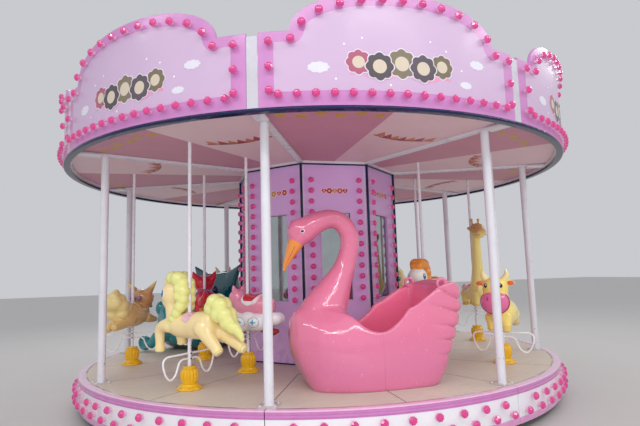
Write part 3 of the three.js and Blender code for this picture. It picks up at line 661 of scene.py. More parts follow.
# The crown boards
# Eight curved fibreglass boards with low shoulders and a round hump, moulded with a raised pink
# border round a printed lilac panel. White cover strips close the joints between them.
CROWN_INNER, CROWN_OUTER = 2.912, 2.942
CROWN_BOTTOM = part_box("crown_board_1")[0].z
CROWN_SHOULDER, CROWN_RISE, CROWN_HUMP, SHOULDER_GAIN = 0.588, 0.312, 0.752, 0.022
BOARD_SPAN = SECTOR * CROWN_OUTER
BOARD_END, STRIP_HALF, BORDER, SIDE_BORDER, LAMP_INSET = 0.02, 0.045, 0.112, 0.165, 0.084
BOARD_STEPS = 121
# Lamps: how many along the foot, how far the end ones stand in, how high; then the side columns.
FOOT_LAMPS, FOOT_MARGIN, FOOT_LEVEL = 15, 0.0865, 0.082
SIDE_LAMPS = np.array([0.116, 0.300, 0.494])
TOP_LAMPS = 13


def step(value, low, high):
    """A smooth step from 0 at low to 1 at high."""
    share = np.clip((value - low) / (high - low), 0, 1)
    return share * share * (3 - 2 * share)


def crown_height(along):
    """The top edge over a board's own width: level shoulders, then a flattened round hump."""
    off = np.minimum(np.abs(2 * along - 1), CROWN_HUMP) / CROWN_HUMP
    return CROWN_SHOULDER + CROWN_RISE * np.clip(1 - off ** 2.3, 0, None) ** 0.465


def inset_height(along, inset):
    """The top edge drawn in by a distance: the lowest the edge comes to a circle of that radius."""
    reach = np.linspace(-inset, inset, 81)
    nearby = crown_height(np.clip(along[:, None] + reach / BOARD_SPAN, 0, 1))
    return (nearby - np.sqrt(inset ** 2 - reach ** 2)).min(1)


def on_crown(along, height, proud):
    """Places on the first board: along from 0 to 1 over its sector, height above its foot."""
    return polar(CROWN_OUTER + proud, FIRST_POST + along * SECTOR, CROWN_BOTTOM + height)


def skinned(grid):
    """A grid whose rows go round a body, with its columns drawn in at both ends."""
    return surface(drawn_in(np.asarray(grid), 1), round_rows=True)


def board_shell():
    """A closed skin round a board: up its back, over an eased top edge and down its face. Its
    stops are closest where the hump rises from the shoulders."""
    edge = (1 - CROWN_HUMP) / 2
    bend = edge + (0.5 - edge) * np.linspace(0, 1, BOARD_STEPS // 2) ** 2.2
    left = np.concatenate([np.linspace(BOARD_END, edge - 1e-4, 9), bend])
    along = np.concatenate([left, 1 - left[::-1]])
    top = crown_height(along)
    back = CROWN_INNER - CROWN_OUTER
    return skinned([on_crown(along, height, proud) for proud, height in [
        (back, 0 * top), (back, top - 0.004), (back + 0.004, top), (-0.006, top), (0, top - 0.006),
        (0, top * 0.5), (0, 0 * top)]])


def board_panel():
    """The printed panel: a grid from the lower border up to the inset top edge."""
    side = SIDE_BORDER / BOARD_SPAN
    along = side + (1 - 2 * side) * (0.5 - 0.5 * np.cos(np.linspace(0, np.pi, 97)))
    top = inset_height(along, BORDER) + SHOULDER_GAIN * step(np.abs(2 * along - 1), 0.74, 0.80)
    rise = BORDER + (top - BORDER) * np.linspace(0, 1, 9)[:, None]
    return skinned(np.concatenate([on_crown(along, rise, 0.0015), on_crown(along, rise[[-1, 0]], -0.002)]))


@finish
def crown_finish(wire):
    cloud = wire.noise(2.5, 5.0)
    streaks = wire.noise(1.0, 4.0, wire.node("Mapping", None, {"Vector": wire.here(),
                                                               "Scale": (9.0, 9.0, 0.6)}))
    base = cloud.blend(seen(196, 126, 190), seen(207, 141, 200))
    wire.close((streaks.rise(0.6, 0.2) * 0.25).blend(base, seen(178, 110, 172)), cloud * 0.14 + 0.26,
               (0.35, 0.12), wire.noise(4.0, 2.0), 0.003)


@finish
def panel_finish(wire):
    cloud = wire.noise(2.0, 5.0)
    base = cloud.blend(seen(200, 170, 204), seen(210, 183, 214))
    wire.close((wire.noise(26.0, 1.0).rise(0.83, 0.01) * 0.6).blend(base, seen(228, 218, 232)),
               cloud * 0.15 + 0.3, (0.25, 0.15), wire.noise(3.0, 3.0), 0.004)


@finish
def gel_coat(wire, colour, roughness=0.16, dirt=0.12, wave=0.25):
    """Gel coat on fibreglass: even colour under a clear gloss, slightly wavy, with faint dirt.
    With no colour of its own it shows the colours painted on its points."""
    smudge = wire.noise(24.0, 4.0)
    shade = (wire.noise(3.5, 5.0) * 0.6 + smudge * 0.4).rise(0.5, 0.35)
    low, high = 1 - dirt, 1 + dirt * 0.35
    light = shade.blend((low, low * 0.985, low * 0.975), (high, high, high))
    wire.close(light.tint(colour or wire.paint()), smudge * 0.14 + (roughness - 0.04), (0.5, 0.06),
               wire.noise(9.0, 2.0) * 6.0 * wave + wire.noise(260.0, 1.0) * 0.25, 0.0008)


def strip_shell():
    """A cover strip over a joint, with folded edges."""
    half, outer = STRIP_HALF, CROWN_OUTER
    section = [(CROWN_INNER, -half), (outer - 0.002, -half), (outer + 0.002, -half + 0.005),
               (outer + 0.002, half - 0.005), (outer - 0.002, half), (CROWN_INNER, half)]
    low, high = CROWN_BOTTOM, CROWN_BOTTOM + CROWN_SHOULDER - 0.03
    return carried(stacked(section, [(0, low), (1, low), (1, high), (0, high)]), FIRST_POST)


def crown_lamps():
    """Along the foot, up both sides, and evenly between those along the inset top edge."""
    places = [(np.linspace(FOOT_MARGIN, 1 - FOOT_MARGIN, FOOT_LAMPS), np.full(FOOT_LAMPS, FOOT_LEVEL))]
    places += [(np.full(3, side), SIDE_LAMPS) for side in (0.058, 0.942)]
    along = np.linspace(0.058, 0.942, 400)
    edge = inset_height(along, LAMP_INSET)
    length = np.concatenate([[0], np.cumsum(np.hypot(np.diff(along) * BOARD_SPAN, np.diff(edge)))])
    even = np.interp(np.linspace(0, length[-1], TOP_LAMPS + 2)[1:-1], length, along)
    along, height = np.concatenate(places + [(even, np.interp(even, along, edge))], 1)
    return lamps(CROWN_OUTER, FIRST_POST + along * SECTOR, CROWN_BOTTOM + height)


crown_pink = crown_finish("crown_finish")
for k, board in enumerate(ringed(board_shell())):
    piece(f"crown_shell_{k + 1}", crown_pink, [board], f"crown_board_{k + 1}")
piece("crown_panels", panel_finish("panel_finish"), ringed(board_panel()))
piece("crown_strips", gel_coat("strip_white", seen(205, 203, 214), 0.3), ringed(strip_shell()))
piece("crown_lamps", lamp_pink, ringed(*crown_lamps()), crease=15)


# The crown's pictures
# Each panel carries a printed garland of round flowers on a striped ribbon, in dusty rose,
# charcoal and olive, with white clouds and dots beside it. Rows hold along, height and size.
FLOWERS = [(0.345, 0.330, 0.105, (176, 92, 118)), (0.415, 0.300, 0.120, (84, 74, 82)),
           (0.492, 0.330, 0.128, (128, 116, 96)), (0.568, 0.305, 0.120, (92, 80, 90)),
           (0.640, 0.335, 0.105, (120, 106, 84))]
RIBBON = [(0.050, (246, 214, 110)), (0.025, (126, 190, 226)), (0.000, (240, 150, 186))]
CLOUDS = [(0.215, 0.290, 0.085, 0.045), (0.790, 0.400, 0.075, 0.038), (0.735, 0.215, 0.06, 0.03)]
DOTS = [(0.300, 0.47), (0.36, 0.52), (0.60, 0.53), (0.66, 0.47), (0.27, 0.20), (0.72, 0.33), (0.45, 0.16)]


def on_board(outline, along, height, colour, proud=0.0024):
    """A scrap's (x, y) as (along, up) on the first board's face, proud of it by a little."""
    points, cells = sticker(outline)
    x, y, z = points.T
    return dyed((on_crown(along + x / BOARD_SPAN, height + y, proud + z), cells), *colour)


def petals(radius, count, depth, steps=60):
    """An outline whose radius swells and shrinks count times round."""
    turn = np.linspace(0, 2 * np.pi, steps, endpoint=False)
    reach = radius * (1 - depth + depth * np.abs(np.cos(count * turn / 2)))
    return polar(reach, turn, 0)[:, :2]


def crown_pictures():
    along = np.linspace(0.315, 0.675, 49)
    wave = 0.215 + 0.02 * np.sin((along - 0.3) * 40)
    scraps = [dyed(skinned([on_crown(along, wave + lift + rise, proud) for rise, proud in
                            [(0, 0.0024), (0.025, 0.0024), (0.025, 0), (0, 0)]]), *colour)
              for lift, colour in RIBBON]
    for n, (along, height, radius, colour) in enumerate(FLOWERS):
        for share, shade, level in [(1.0, (226, 218, 230), 0.0028), (0.92, colour, 0.0034),
                                    (0.45, (214, 200, 180), 0.0040)]:
            outline = petals(radius * share, 8, 0.16 if share > 0.5 else 0.0)
            scraps.append(on_board(outline, along, height, shade, level + 0.002 * (n % 2)))
    scraps += [on_board(petals(1.0, 9, 0.14, 72) * (width, tall), along, height, (226, 224, 236))
               for along, height, width, tall in CLOUDS]
    return scraps + [on_board(circle(0.008, 12), along, height, (252, 248, 252)) for along, height in DOTS]


piece("crown_pictures", printed("crown_ink"), ringed(*crown_pictures()))


# The crown's trim
# A rolled ring under the boards, painted high gloss navy: its outer side's radius and height go
# round half an ellipse.
TRIM_BOTTOM, TRIM_TOP = (corner.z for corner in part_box("crown_trim"))
TRIM_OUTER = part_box("crown_trim")[1].x
TRIM_INNER, TRIM_ROLL = 2.882, 0.012


@finish
def navy_finish(wire):
    cloud = wire.noise(12.0, 4.0)
    wire.close(cloud.blend(seen(12, 18, 56), seen(26, 36, 88)), cloud * 0.1 + 0.08, (0.3, 0.03),
               wire.noise(14.0, 2.0), more={"Specular IOR Level": 0.3})


middle, half = (TRIM_TOP + TRIM_BOTTOM) / 2, (TRIM_TOP - TRIM_BOTTOM) / 2
trim_profile = [(TRIM_INNER, TRIM_BOTTOM), (TRIM_INNER, TRIM_TOP)]
trim_profile += [(TRIM_OUTER - TRIM_ROLL + TRIM_ROLL * np.cos(turn), middle + half * np.sin(turn))
                 for turn in np.linspace(np.pi / 2, -np.pi / 2, 11)]
navy = navy_finish("navy_finish")
piece("trim_ring", navy, [turned(trim_profile, ring=True)], "crown_trim")


# The roof
# A shallow cone of grey sheet behind the boards, in wedges with standing seams. It isn't seen
# from the ground.
ROOF_FOOT, ROOF_APEX = (corner.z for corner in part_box("roof_cover"))
ROOF_EAVES = DECK_TOP + 2.33
ROOF_EDGE, ROOF_SHEET, ROOF_SEAMS, SEAM_RISE = 2.899, 0.012, 24, 0.018


def roof_shell():
    """A cone whose height is lifted at each seam: the lift falls off within 2 % of a wedge."""
    peak, edge, back = ROOF_APEX - 0.02, ROOF_EDGE, ROOF_EDGE - 0.03
    slope = (peak - ROOF_EAVES) / edge
    profile = [(0.001, peak), *[(radius, peak - slope * radius) for radius in (0.3, 1.2, 2.0)],
               (edge, ROOF_EAVES), (edge, ROOF_FOOT), (back, ROOF_FOOT), (back, ROOF_EAVES - ROOF_SHEET),
               (0.001, ROOF_APEX - 0.04)]
    wedge = np.concatenate([[-0.012, -0.006, 0.006, 0.012], np.linspace(0.1, 0.9, 5)])
    angle = (np.arange(ROOF_SEAMS)[:, None] + wedge).ravel() * 2 * np.pi / ROOF_SEAMS
    lift = np.tile([0, SEAM_RISE, SEAM_RISE, 0, 0, 0, 0, 0, 0], ROOF_SEAMS)[:, None]
    radius, height = np.array(profile).T
    return surface(polar(radius, angle[:, None], height + lift * [1, 1, 1, 1, 0.2, 0, 0, 0, 0]),
                   round_rows=True, round_columns=True)


@finish
def roof_finish(wire):
    dust = wire.noise(1.6, 6.0)
    wire.close(dust.blend(seen(176, 170, 178), seen(204, 199, 206)), dust * 0.3 + 0.4,
               height=wire.noise(40.0))


piece("roof_skin", roof_finish("roof_finish"), [roof_shell()], "roof_cover", 25)


# The centre column
# Eight flat mauve panels on a hidden frame, each with a tall mirror, a column of lamp caps at
# both sides, and a row of round badges above. Navy tubes cover the corners.
CORNER_TUBE, CORNER_CIRCLE, COLLAR, COLLAR_WIDTH = 0.015, 1.0125, 0.012, 0.0148
COLUMN_LAMP_OFFSET = 0.28
COLUMN_LAMP_LEVELS = 0.693 + 0.12 * np.arange(12)
BADGE_HEIGHT, EDGE_STRIP = 1.895, 0.352
BADGE_REDS = [(178, 40, 56), (206, 62, 96), (196, 142, 60), (178, 40, 56), (206, 62, 96)]
MIRROR_HALF, MIRROR_LOW, MIRROR_HIGH = 0.175, 0.676, 1.645


@finish
def housing_finish(wire):
    cloud = wire.noise(3.0, 5.0)
    scuffs = (1 - wire.axis("Z").rise(DECK_TOP + 0.35, 0.35)) * wire.noise(18.0, 6.0).rise(0.55, 0.1)
    across = abs(wire.math("TANGENT", (sector_angle(wire) % 1.0 - 0.5) * SECTOR) * COLUMN_FACE)
    base = cloud.blend(seen(214, 168, 228), seen(228, 186, 238))
    base = across.rise(EDGE_STRIP, 0.001).blend(base, seen(232, 208, 238))
    wire.close((scuffs * 0.3).blend(base, seen(150, 110, 150)), cloud * 0.15 + 0.24, (0.35, 0.1),
               wire.noise(2.5, 3.0), 0.005)


@finish
def mirror_finish(wire):
    haze = wire.noise(6.0, 5.0)
    wire.close(haze.blend(seen(160, 168, 168), seen(190, 196, 196)), haze.rise(0.62, 0.12) * 0.12 + 0.02,
               more={"Metallic": 1.0})


def on_face(points, turn=SECTOR / 2):
    """From across to the left, up from the deck and proud of a face to places on the first face."""
    across, height, proud = np.array(points, float).T
    angle = FIRST_POST + turn
    flat = polar(COLUMN_FACE + proud, angle, DECK_TOP + height)
    return flat + across[:, None] * polar(1.0, angle + np.pi / 2, 0.0)


def heart(size, steps=40):
    """The common heart curve: x = 16 sin^3 t, y = 13 cos t - 5 cos 2t - 2 cos 3t - cos 4t."""
    t = np.linspace(0, 2 * np.pi, steps, endpoint=False)
    y = 13 * np.cos(t) - 5 * np.cos(2 * t) - 2 * np.cos(3 * t) - np.cos(4 * t)
    return np.stack([16 * np.sin(t) ** 3, y], -1) * size / 16


def column_badges(k):
    """Round flowers and hearts with pale rims, in red, rose and ochre, five to a face."""
    for n in range(5):
        shape = petals(0.034, 6, 0.2, 48) if (n + k) % 2 else heart(0.03)
        for share, shade, level in [(1.18, (240, 226, 214), 0.0004), (1.0, BADGE_REDS[n], 0.0012),
                                    (0.4, (238, 190, 170), 0.002)]:
            points, cells = sticker(shape * share)
            points = points + ((n - 2) * (-0.075 if k % 2 else -0.062), BADGE_HEIGHT, level)
            yield dyed((on_face(points, (k + 0.5) * SECTOR), cells), *shade)


collar_inner = (COLUMN_FACE + 0.0004) / np.cos(SECTOR / 2)
corner_shells = [slab(collar_inner, collar_inner + COLLAR_WIDTH, low, high, SECTORS, FIRST_POST)
                 for low, high in [(DECK_TOP, DECK_TOP + COLLAR), (POST_TOP - 0.014, POST_TOP)]]
corner_shells += ringed(prism(circle(CORNER_TUBE, 16, polar(CORNER_CIRCLE, FIRST_POST, 0)[:2]),
                              DECK_TOP, POST_TOP))
corners = np.array([(-MIRROR_HALF, MIRROR_LOW, 0.001), (MIRROR_HALF, MIRROR_LOW, 0.001),
                    (MIRROR_HALF, MIRROR_HIGH, 0.001), (-MIRROR_HALF, MIRROR_HIGH, 0.001)])
bead = np.concatenate([np.linspace(corners[n], corners[(n + 1) % 4], 8, endpoint=False) for n in range(4)])
column_lilac = housing_finish("housing_finish")
finish_node("column_housing", column_lilac)
finish_node("column_mirror", mirror_finish("mirror_finish"))
piece("corner_tubes", navy, corner_shells, "column_corners")
piece("mirror_beads", column_lilac,
      [tube(on_face(bead, (k + 0.5) * SECTOR), 0.006, 6, closed=True) for k in range(SECTORS)])
piece("column_badges", printed("badge_ink", 0.3),
      [badge for k in range(SECTORS) for badge in column_badges(k)])
face_lamps = lamps(COLUMN_FACE, FIRST_POST + SECTOR / 2, DECK_TOP + COLUMN_LAMP_LEVELS)
sideways = COLUMN_LAMP_OFFSET * polar(1.0, FIRST_POST + SECTOR / 2 + np.pi / 2, 0.0)
piece("column_lamps", lamp_pink,
      ringed(*[carried(cap, 0, side * sideways) for cap in face_lamps for side in (-1, 1)]), crease=15)


# The pole sockets
# Twelve yellow fibreglass urns screwed down over the bores in the deck. Each has a scalloped foot
# with oval screw pockets, a fluted barrel and a plain collar round its pole.
OUTER_ROW, INNER_ROW = 2.236, 1.417
RIDES = {name: (OUTER_ROW, sector) for name, sector in [
    ("pony", -1), ("fox", -2), ("cow", 1), ("giraffe", 2), ("pony_second", 3), ("fox_second", 4)]}
RIDES.update({name: (INNER_ROW, sector) for name, sector in [
    ("cloud_pig", -1), ("dragon", -2), ("white_horse", 1), ("elephant", 2), ("cloud_pig_second", 3),
    ("elephant_second", 4)]})
# The urn's outline from its collar down: radius, height, depth of the flutes, of the scallops.
SOCKET_OUTLINE = np.array([
    (0.017, 0.1995, 0, 0), (0.056, 0.2, 0, 0), (0.060, 0.197, 0, 0), (0.060, 0.184, 0, 0),
    (0.056, 0.180, 0, 0), (0.062, 0.174, 0.3, 0), (0.074, 0.165, 1, 0), (0.0815, 0.145, 1, 0),
    (0.0815, 0.115, 1, 0), (0.077, 0.085, 1, 0), (0.069, 0.063, 0.3, 0), (0.066, 0.055, 0, 0),
    (0.080, 0.049, 0, 0), (0.083, 0.042, 0, 0.1), (0.094, 0.030, 0, 0.5), (0.110, 0.019, 0, 1),
    (0.115, 0.012, 0, 1), (0.1145, 0.003, 0, 1), (0.111, 0.0, 0, 1), (0.0, 0.0, 0, 0)])
FLUTES, FLUTE_DEPTH = 14, 0.008
SCALLOPS, SCALLOP_DEPTH = 8, 0.010


def socket_shell():
    """radius = outline - flute depth * (1 - |cos|) of the flutes - the same for the scallops."""
    angle = np.linspace(0, 2 * np.pi, FLUTES * 8, endpoint=False)[:, None]
    radius, height, flute, scallop = SOCKET_OUTLINE.T
    for depth, count in [(flute * FLUTE_DEPTH, FLUTES), (scallop * SCALLOP_DEPTH, SCALLOPS)]:
        radius = radius - depth * (1 - np.abs(np.cos(count * angle / 2)))
    return surface(polar(radius, angle, height), round_rows=True, round_columns=True)


def seated(shells, row, sector):
    """From a seat's own frame (forward, outwards, up from the deck) to its place on the deck."""
    angle = -np.pi / 2 + sector * SECTOR
    return [carried(shell, angle - np.pi / 2, polar(row, angle, DECK_TOP)) for shell in shells]


@finish
def socket_finish(wire):
    cloud = wire.noise(8.0, 5.0)
    wire.close(cloud.blend((0.86, 0.82, 0.74), (1.06, 1.03, 1.0)).tint(wire.paint()), cloud * 0.2 + 0.16,
               (0.5, 0.08), wire.noise(30.0, 2.0), 0.0012)


pocket = sticker(petals(1.0, 2, 0.0, 16) * (0.011, 0.007), 0.0006)
urn = [dyed(socket_shell(), 240, 188, 6)]
urn += [dyed(carried(pocket, n * SECTOR, polar(0.099, n * SECTOR, 0.0262)), 206, 112, 16)
        for n in range(SCALLOPS)]
piece("pole_sockets", socket_finish("socket_finish"),
      [shell for seat in RIDES.values() for shell in seated(urn, *seat)], "deck", 40)


# The poles
# White tubes that slide in the sockets and through the ceiling. Each has two footrests of bent
# rod bolted through it, and rows of spare bolt holes above and below them.
POLE_RADIUS, FOOTREST_TUBE = 0.0165, 0.0085
# A pole's lower end stays inside its socket and clear of the deck sheet at every height.
POLE_FOOT = {OUTER_ROW: 0.046, INNER_ROW: 0.116}
FOOTREST = [(0.004, 0.308), (0.16, 0.309), (0.262, 0.306), (0.302, 0.262), (0.275, 0.165),
            (0.225, 0.115), (0.170, 0.140), (0.140, 0.200), (0.122, 0.240), (0.080, 0.264),
            (0.004, 0.262)]
FOOTREST_LIFTS = {"fox": 0.04, "fox_second": 0.04, "giraffe": 0.09}
INNER_LIFT = 0.07
# Each bolt head or hole: height, radius and how proud it stands.
BOLTS = [(0.262, 0.0075, 0.006), (0.308, 0.0075, 0.006), (0.345, 0.005, 0.0008), (0.375, 0.005, 0.0008)]


def through(points, count, axis=0):
    """A Catmull-Rom curve through points along an axis, at count even steps of its parameter."""
    points = np.moveaxis(np.asarray(points, float), axis, 0)
    padded = np.concatenate([2 * points[:1] - points[1:2], points, 2 * points[-1:] - points[-2:-1]])
    place = np.linspace(0, len(points) - 1, count)
    first = np.minimum(place.astype(int), len(points) - 2)
    t = (place - first).reshape(-1, *[1] * (points.ndim - 1))
    a, b, c, d = (padded[first + n] for n in range(4))
    bend = 2 * a - 5 * b + 4 * c - d + t * (3 * (b - c) + d - a)
    return np.moveaxis(b + 0.5 * t * (c - a + t * bend), 0, axis)


def pole_shells(bottom, top, lift):
    shells = [dyed(turned([(0, bottom), (POLE_RADIUS, bottom), (POLE_RADIUS, top), (0, top)], 24),
                   236, 234, 240)]
    reach, level = through(FOOTREST, 70).T
    for side in (-1, 1):
        path = np.column_stack([0 * reach, side * reach, level + lift])
        shells.append(dyed(tube(path, FOOTREST_TUBE, 10), 244, 242, 246))
        for height, size, proud in BOLTS:
            head = np.array([[0, 0, 0], [proud, 0, 0]]) * side + [side * POLE_RADIUS, 0, height + lift]
            shells.append(dyed(tube(head, size, 6), 46, 42, 46))
    return shells


rod_white = printed("pole_paint", 0.28)
for name, seat in RIDES.items():
    low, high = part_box(f"{name}_pole")
    lift = FOOTREST_LIFTS.get(name, 0) + (INNER_LIFT if seat[0] == INNER_ROW else 0)
    shells = pole_shells(max(low.z - DECK_TOP, POLE_FOOT[seat[0]]), high.z - DECK_TOP, lift)
    piece(f"{name}_pole_tube", rod_white, seated(shells, *seat), f"{name}_pole",
          body=f"{name}_jumper")


# The swan
# A carriage for two, moulded in glossy pink gel coat in two halves that meet at a faint seam: a
# deep hull with a raised neck in front, and wings whose feathers are stepped along the back.
CARRIAGE_ROW = 1.85
# The hull's sections in millimetres: forward, underside, height of the widest part, lip, then the
# half widths at the foot, at the widest part and at the lip. The well is open between two places.
SWAN_HULL = np.array([
    (728, 360, 440, 515, 30, 60, 35),
    (700, 270, 425, 585, 85, 155, 70),
    (650, 150, 400, 640, 145, 226, 100),
    (540, -30, 380, 665, 254, 337, 170),
    (400, -30, 370, 650, 348, 410, 255),
    (250, -30, 360, 600, 402, 445, 362),
    (150, -30, 355, 511, 416, 455, 417),
    (44, -30, 350, 471, 424, 458, 447),
    (-50, -30, 350, 491, 427, 458, 448),
    (-168, -30, 350, 576, 425, 457, 442),
    (-230, -30, 354, 647, 422, 456, 439),
    (-300, -30, 360, 673, 415, 454, 434),
    (-389, -30, 370, 727, 406, 450, 430),
    (-514, 0, 400, 804, 365, 440, 414),
    (-620, 160, 450, 848, 318, 422, 394),
    (-700, 330, 540, 862, 286, 400, 374),
    (-784, 540, 690, 856, 242, 350, 325)]) / 1000
SWAN_WELL, SECTION_STEPS = (0.235, -0.635), 78
SWAN_NECK = [
    (460, 0, 520, 237), (395, 0, 660, 206), (325, 0, 785, 167),
    (262, 0, 900, 130), (205, 0, 1010, 104), (165, 0, 1120, 92),
    (140, 0, 1220, 88), (147, 0, 1340, 87), (212, 0, 1438, 87),
    (310, 0, 1475, 88), (420, 0, 1452, 96), (520, 0, 1400, 110),
    (600, 0, 1335, 110), (634, 0, 1295, 90)]
SWAN_BEAK = [
    (638, 0, 1286, 73), (656, 0, 1246, 71), (686, 0, 1190, 57),
    (715, 0, 1130, 38), (748, 0, 1056, 22), (764, 0, 1014, 11)]
HULL_WALL, HULL_FLOOR = 0.05, 0.11
# The heights of the feathers' lower edges at the stern, and how far each edge climbs forwards.
FEATHERS = np.array([(0.244, 0.05), (0.357, 0.10), (0.469, 0.16), (0.600, 0.24), (0.716, 0.42)])
FEATHER_DEPTH, SWAN_SEAM = 0.018, 0.02
# The hull's pink, then a darker pink painted as shade on the lower hull, then a lighter pink painted in the
# well and on the bench to make up for the shade there.
SWAN_PINK, SWAN_SHADED_LOW, SWAN_WELL_LIT = seen(234, 126, 162), seen(220, 120, 160), seen(255, 130, 170)
BEAK_ORANGE = seen(246, 150, 62)


def hull_shell(stations, well, crown=0.03, swell=0.0, steps=150):
    """A moulded hull in one skin. Each section goes up the outer side to the lip and over it. In
    the well it drops down the inner side to the floor, and elsewhere it closes in a crown, which
    swells before the well where the neck grows out of it."""
    rows = through(stations, steps)[:, :, None]
    ahead, low, middle, top, half_low, half, half_top = rows.transpose(1, 0, 2)
    bilge = np.minimum((half_low + half) / 2 + 0.022, half)
    shoulder = half_top + 0.72 * (half - half_top)
    outer_y = np.concatenate([0 * low, half_low * 0.6, half_low, bilge, half, shoulder, half_top], 1)
    outer_z = np.concatenate([low, low, low + 0.012, (2 * low + middle) / 3, middle,
                              (middle + top) / 2, top], 1)
    open_share = step(ahead, well[1], well[1] + 0.05) * (1 - step(ahead, well[0] - 0.05, well[0]))
    floor = np.maximum(HULL_FLOOR, low + HULL_WALL)
    rim, side = half_top - HULL_WALL, half - HULL_WALL
    well_y = np.concatenate([half_top - HULL_WALL / 2, rim, (rim + side) / 2, side,
                             half - 0.09, half - 0.17, 0 * low], 1)
    well_z = np.concatenate([top + 0.006, top - 0.012, (middle + top) / 2, middle, floor + 0.06,
                             floor, floor], 1)
    lid_y = half_top * np.array([0.93, 0.8, 0.65, 0.5, 0.35, 0.18, 0.0])
    rise = swell * step(ahead, well[0] - 0.06, well[0] + 0.12) * (1 - step(ahead, 0.34, 0.62))
    lid_z = top + crown * (1 - (lid_y / half_top) ** 2) + rise * (1 - lid_y / half_top) ** 1.6
    inner_y = lid_y + (well_y - lid_y) * open_share
    inner_z = lid_z + (well_z - lid_z) * open_share
    side_y = through(np.concatenate([outer_y, inner_y], 1), SECTION_STEPS, axis=1)
    side_z = through(np.concatenate([outer_z, inner_z], 1), SECTION_STEPS, axis=1)
    points = np.stack([ahead + 0 * side_y, side_y, np.maximum(side_z, low)], -1)
    return surface(drawn_in(np.concatenate([points, points[:, -2:0:-1] * (1, -1, 1)], 1)),
                   round_columns=True)


def limb(points, sides=24, steps=40, blunt=0.5):
    """A round bar through rows of (forward, outwards, up, radius) in millimetres, its ends rounded
    off: each end's rings go on by blunt * r * sin and shrink by cos."""
    path = through(np.array(points) / 1000, steps)
    turn = np.linspace(0, np.pi / 2, 6)[1:-1]

    def cap(end, inner):
        away = (end - inner)[:3] / np.linalg.norm((end - inner)[:3])
        places = end[:3] + np.sin(turn)[:, None] * away * end[3] * blunt
        return np.column_stack([places, end[3] * np.cos(turn)])

    path = np.concatenate([cap(path[0], path[1])[::-1], path, cap(path[-1], path[-2])])
    return tube(path[:, :3], path[:, 3], sides)


def ball(x, y, z, rx, ry=None, rz=None, steps=24):
    """An ellipsoid in millimetres: a half circle of latitude turned round, scaled on each axis."""
    latitude = np.linspace(-np.pi / 2, np.pi / 2, steps // 2 + 1)[:, None]
    turn = np.linspace(0, 2 * np.pi, steps, endpoint=False)
    unit = polar(np.cos(latitude), turn, np.sin(latitude))
    place, radii = np.array([(x, y, z), (rx, ry or rx, rz or rx)]) / 1000
    return surface(unit * radii + place, round_columns=True)


def fused(shells, voxel, rounds=6):
    """Overlapping shells made one skin: remeshed on a grid of voxels, then relaxed."""
    mesh = mesh_of("fusing", shells, 30)
    holder = stood("fusing", mesh)
    remesh = holder.modifiers.new("one skin", "REMESH")
    remesh.mode, remesh.voxel_size = "VOXEL", voxel
    relax = holder.modifiers.new("relax", "SMOOTH")
    relax.iterations, relax.factor = rounds, 0.5
    skin = holder.evaluated_get(bpy.context.evaluated_depsgraph_get()).to_mesh()
    points = np.empty(len(skin.vertices) * 3, np.float32)
    skin.vertices.foreach_get("co", points)
    cells = np.empty(len(skin.loops), np.int32)
    skin.loops.foreach_get("vertex_index", cells)
    bpy.data.objects.remove(holder)
    bpy.data.meshes.remove(mesh)
    return points.reshape(-1, 3).astype(float), cells.reshape(-1, 4)


def in_well(points, stations, well):
    """1 for points on the inner skin of a hull's well, and 0 outside."""
    rows = stations[::-1]
    low, middle, lip, half_low, half, half_top = (np.interp(points[:, 0], rows[:, 0], rows[:, n])
                                                  for n in range(1, 7))
    height = points[:, 2]
    below = half_low + (half - half_low) * np.sqrt(np.clip((height - low) / (middle - low), 0, 1))
    above = half + (half_top - half) * np.clip((height - middle) / (lip - middle), 0, 1)
    edge = np.where(height < middle, below, above) - HULL_WALL + 0.014
    inside = (np.abs(points[:, 1]) < edge) & (height > low + HULL_WALL / 2) & (height < lip - 0.004)
    inside &= (points[:, 0] < well[0] + 0.01) & (points[:, 0] > well[1] - 0.01)
    return inside.astype(float)[:, None]


def feathered(shell):
    """Rounds the feathers along the stern: each sinks at both its edges, by the fourth power of
    the way from its middle, and a little towards its top. It fades out forwards and below."""
    points = shell[0].copy()
    outer = 1 - in_well(points, SWAN_HULL, SWAN_WELL)[:, 0]
    forward = np.maximum(points[:, 0] + 0.77, 0)
    edges = FEATHERS[:, :1] + FEATHERS[:, 1:] * forward
    edges = np.concatenate([edges, edges[-1:] + 0.16])
    share = np.full(len(points), 0.5)
    for lower, upper in zip(edges[:-1], edges[1:]):
        within = (points[:, 2] >= lower) & (points[:, 2] < upper)
        share = np.where(within, (points[:, 2] - lower) / (upper - lower), share)
    below = (points[:, 2] < edges[0]) & (points[:, 2] > edges[0] - 0.09)
    share = np.where(below, 1 - (edges[0] - points[:, 2]) / 0.18, share)
    reach = 1 - step(forward, 0.08 + 0.1 * points[:, 2], 0.30 + 0.15 * points[:, 2])
    sink = (FEATHER_DEPTH * np.abs(2 * share - 1) ** 4 + 0.008 * share) * reach * outer
    points[:, 1] -= np.sign(points[:, 1]) * sink * step(np.abs(points[:, 1]), 0.1, 0.25)
    points[:, 0] += sink * step(-points[:, 0], 0.56, 0.7) * 1.3
    return points, shell[1]


def blended(low, high, share):
    """A row of colours between two colours."""
    return np.array(low) + (np.array(high) - np.array(low)) * share


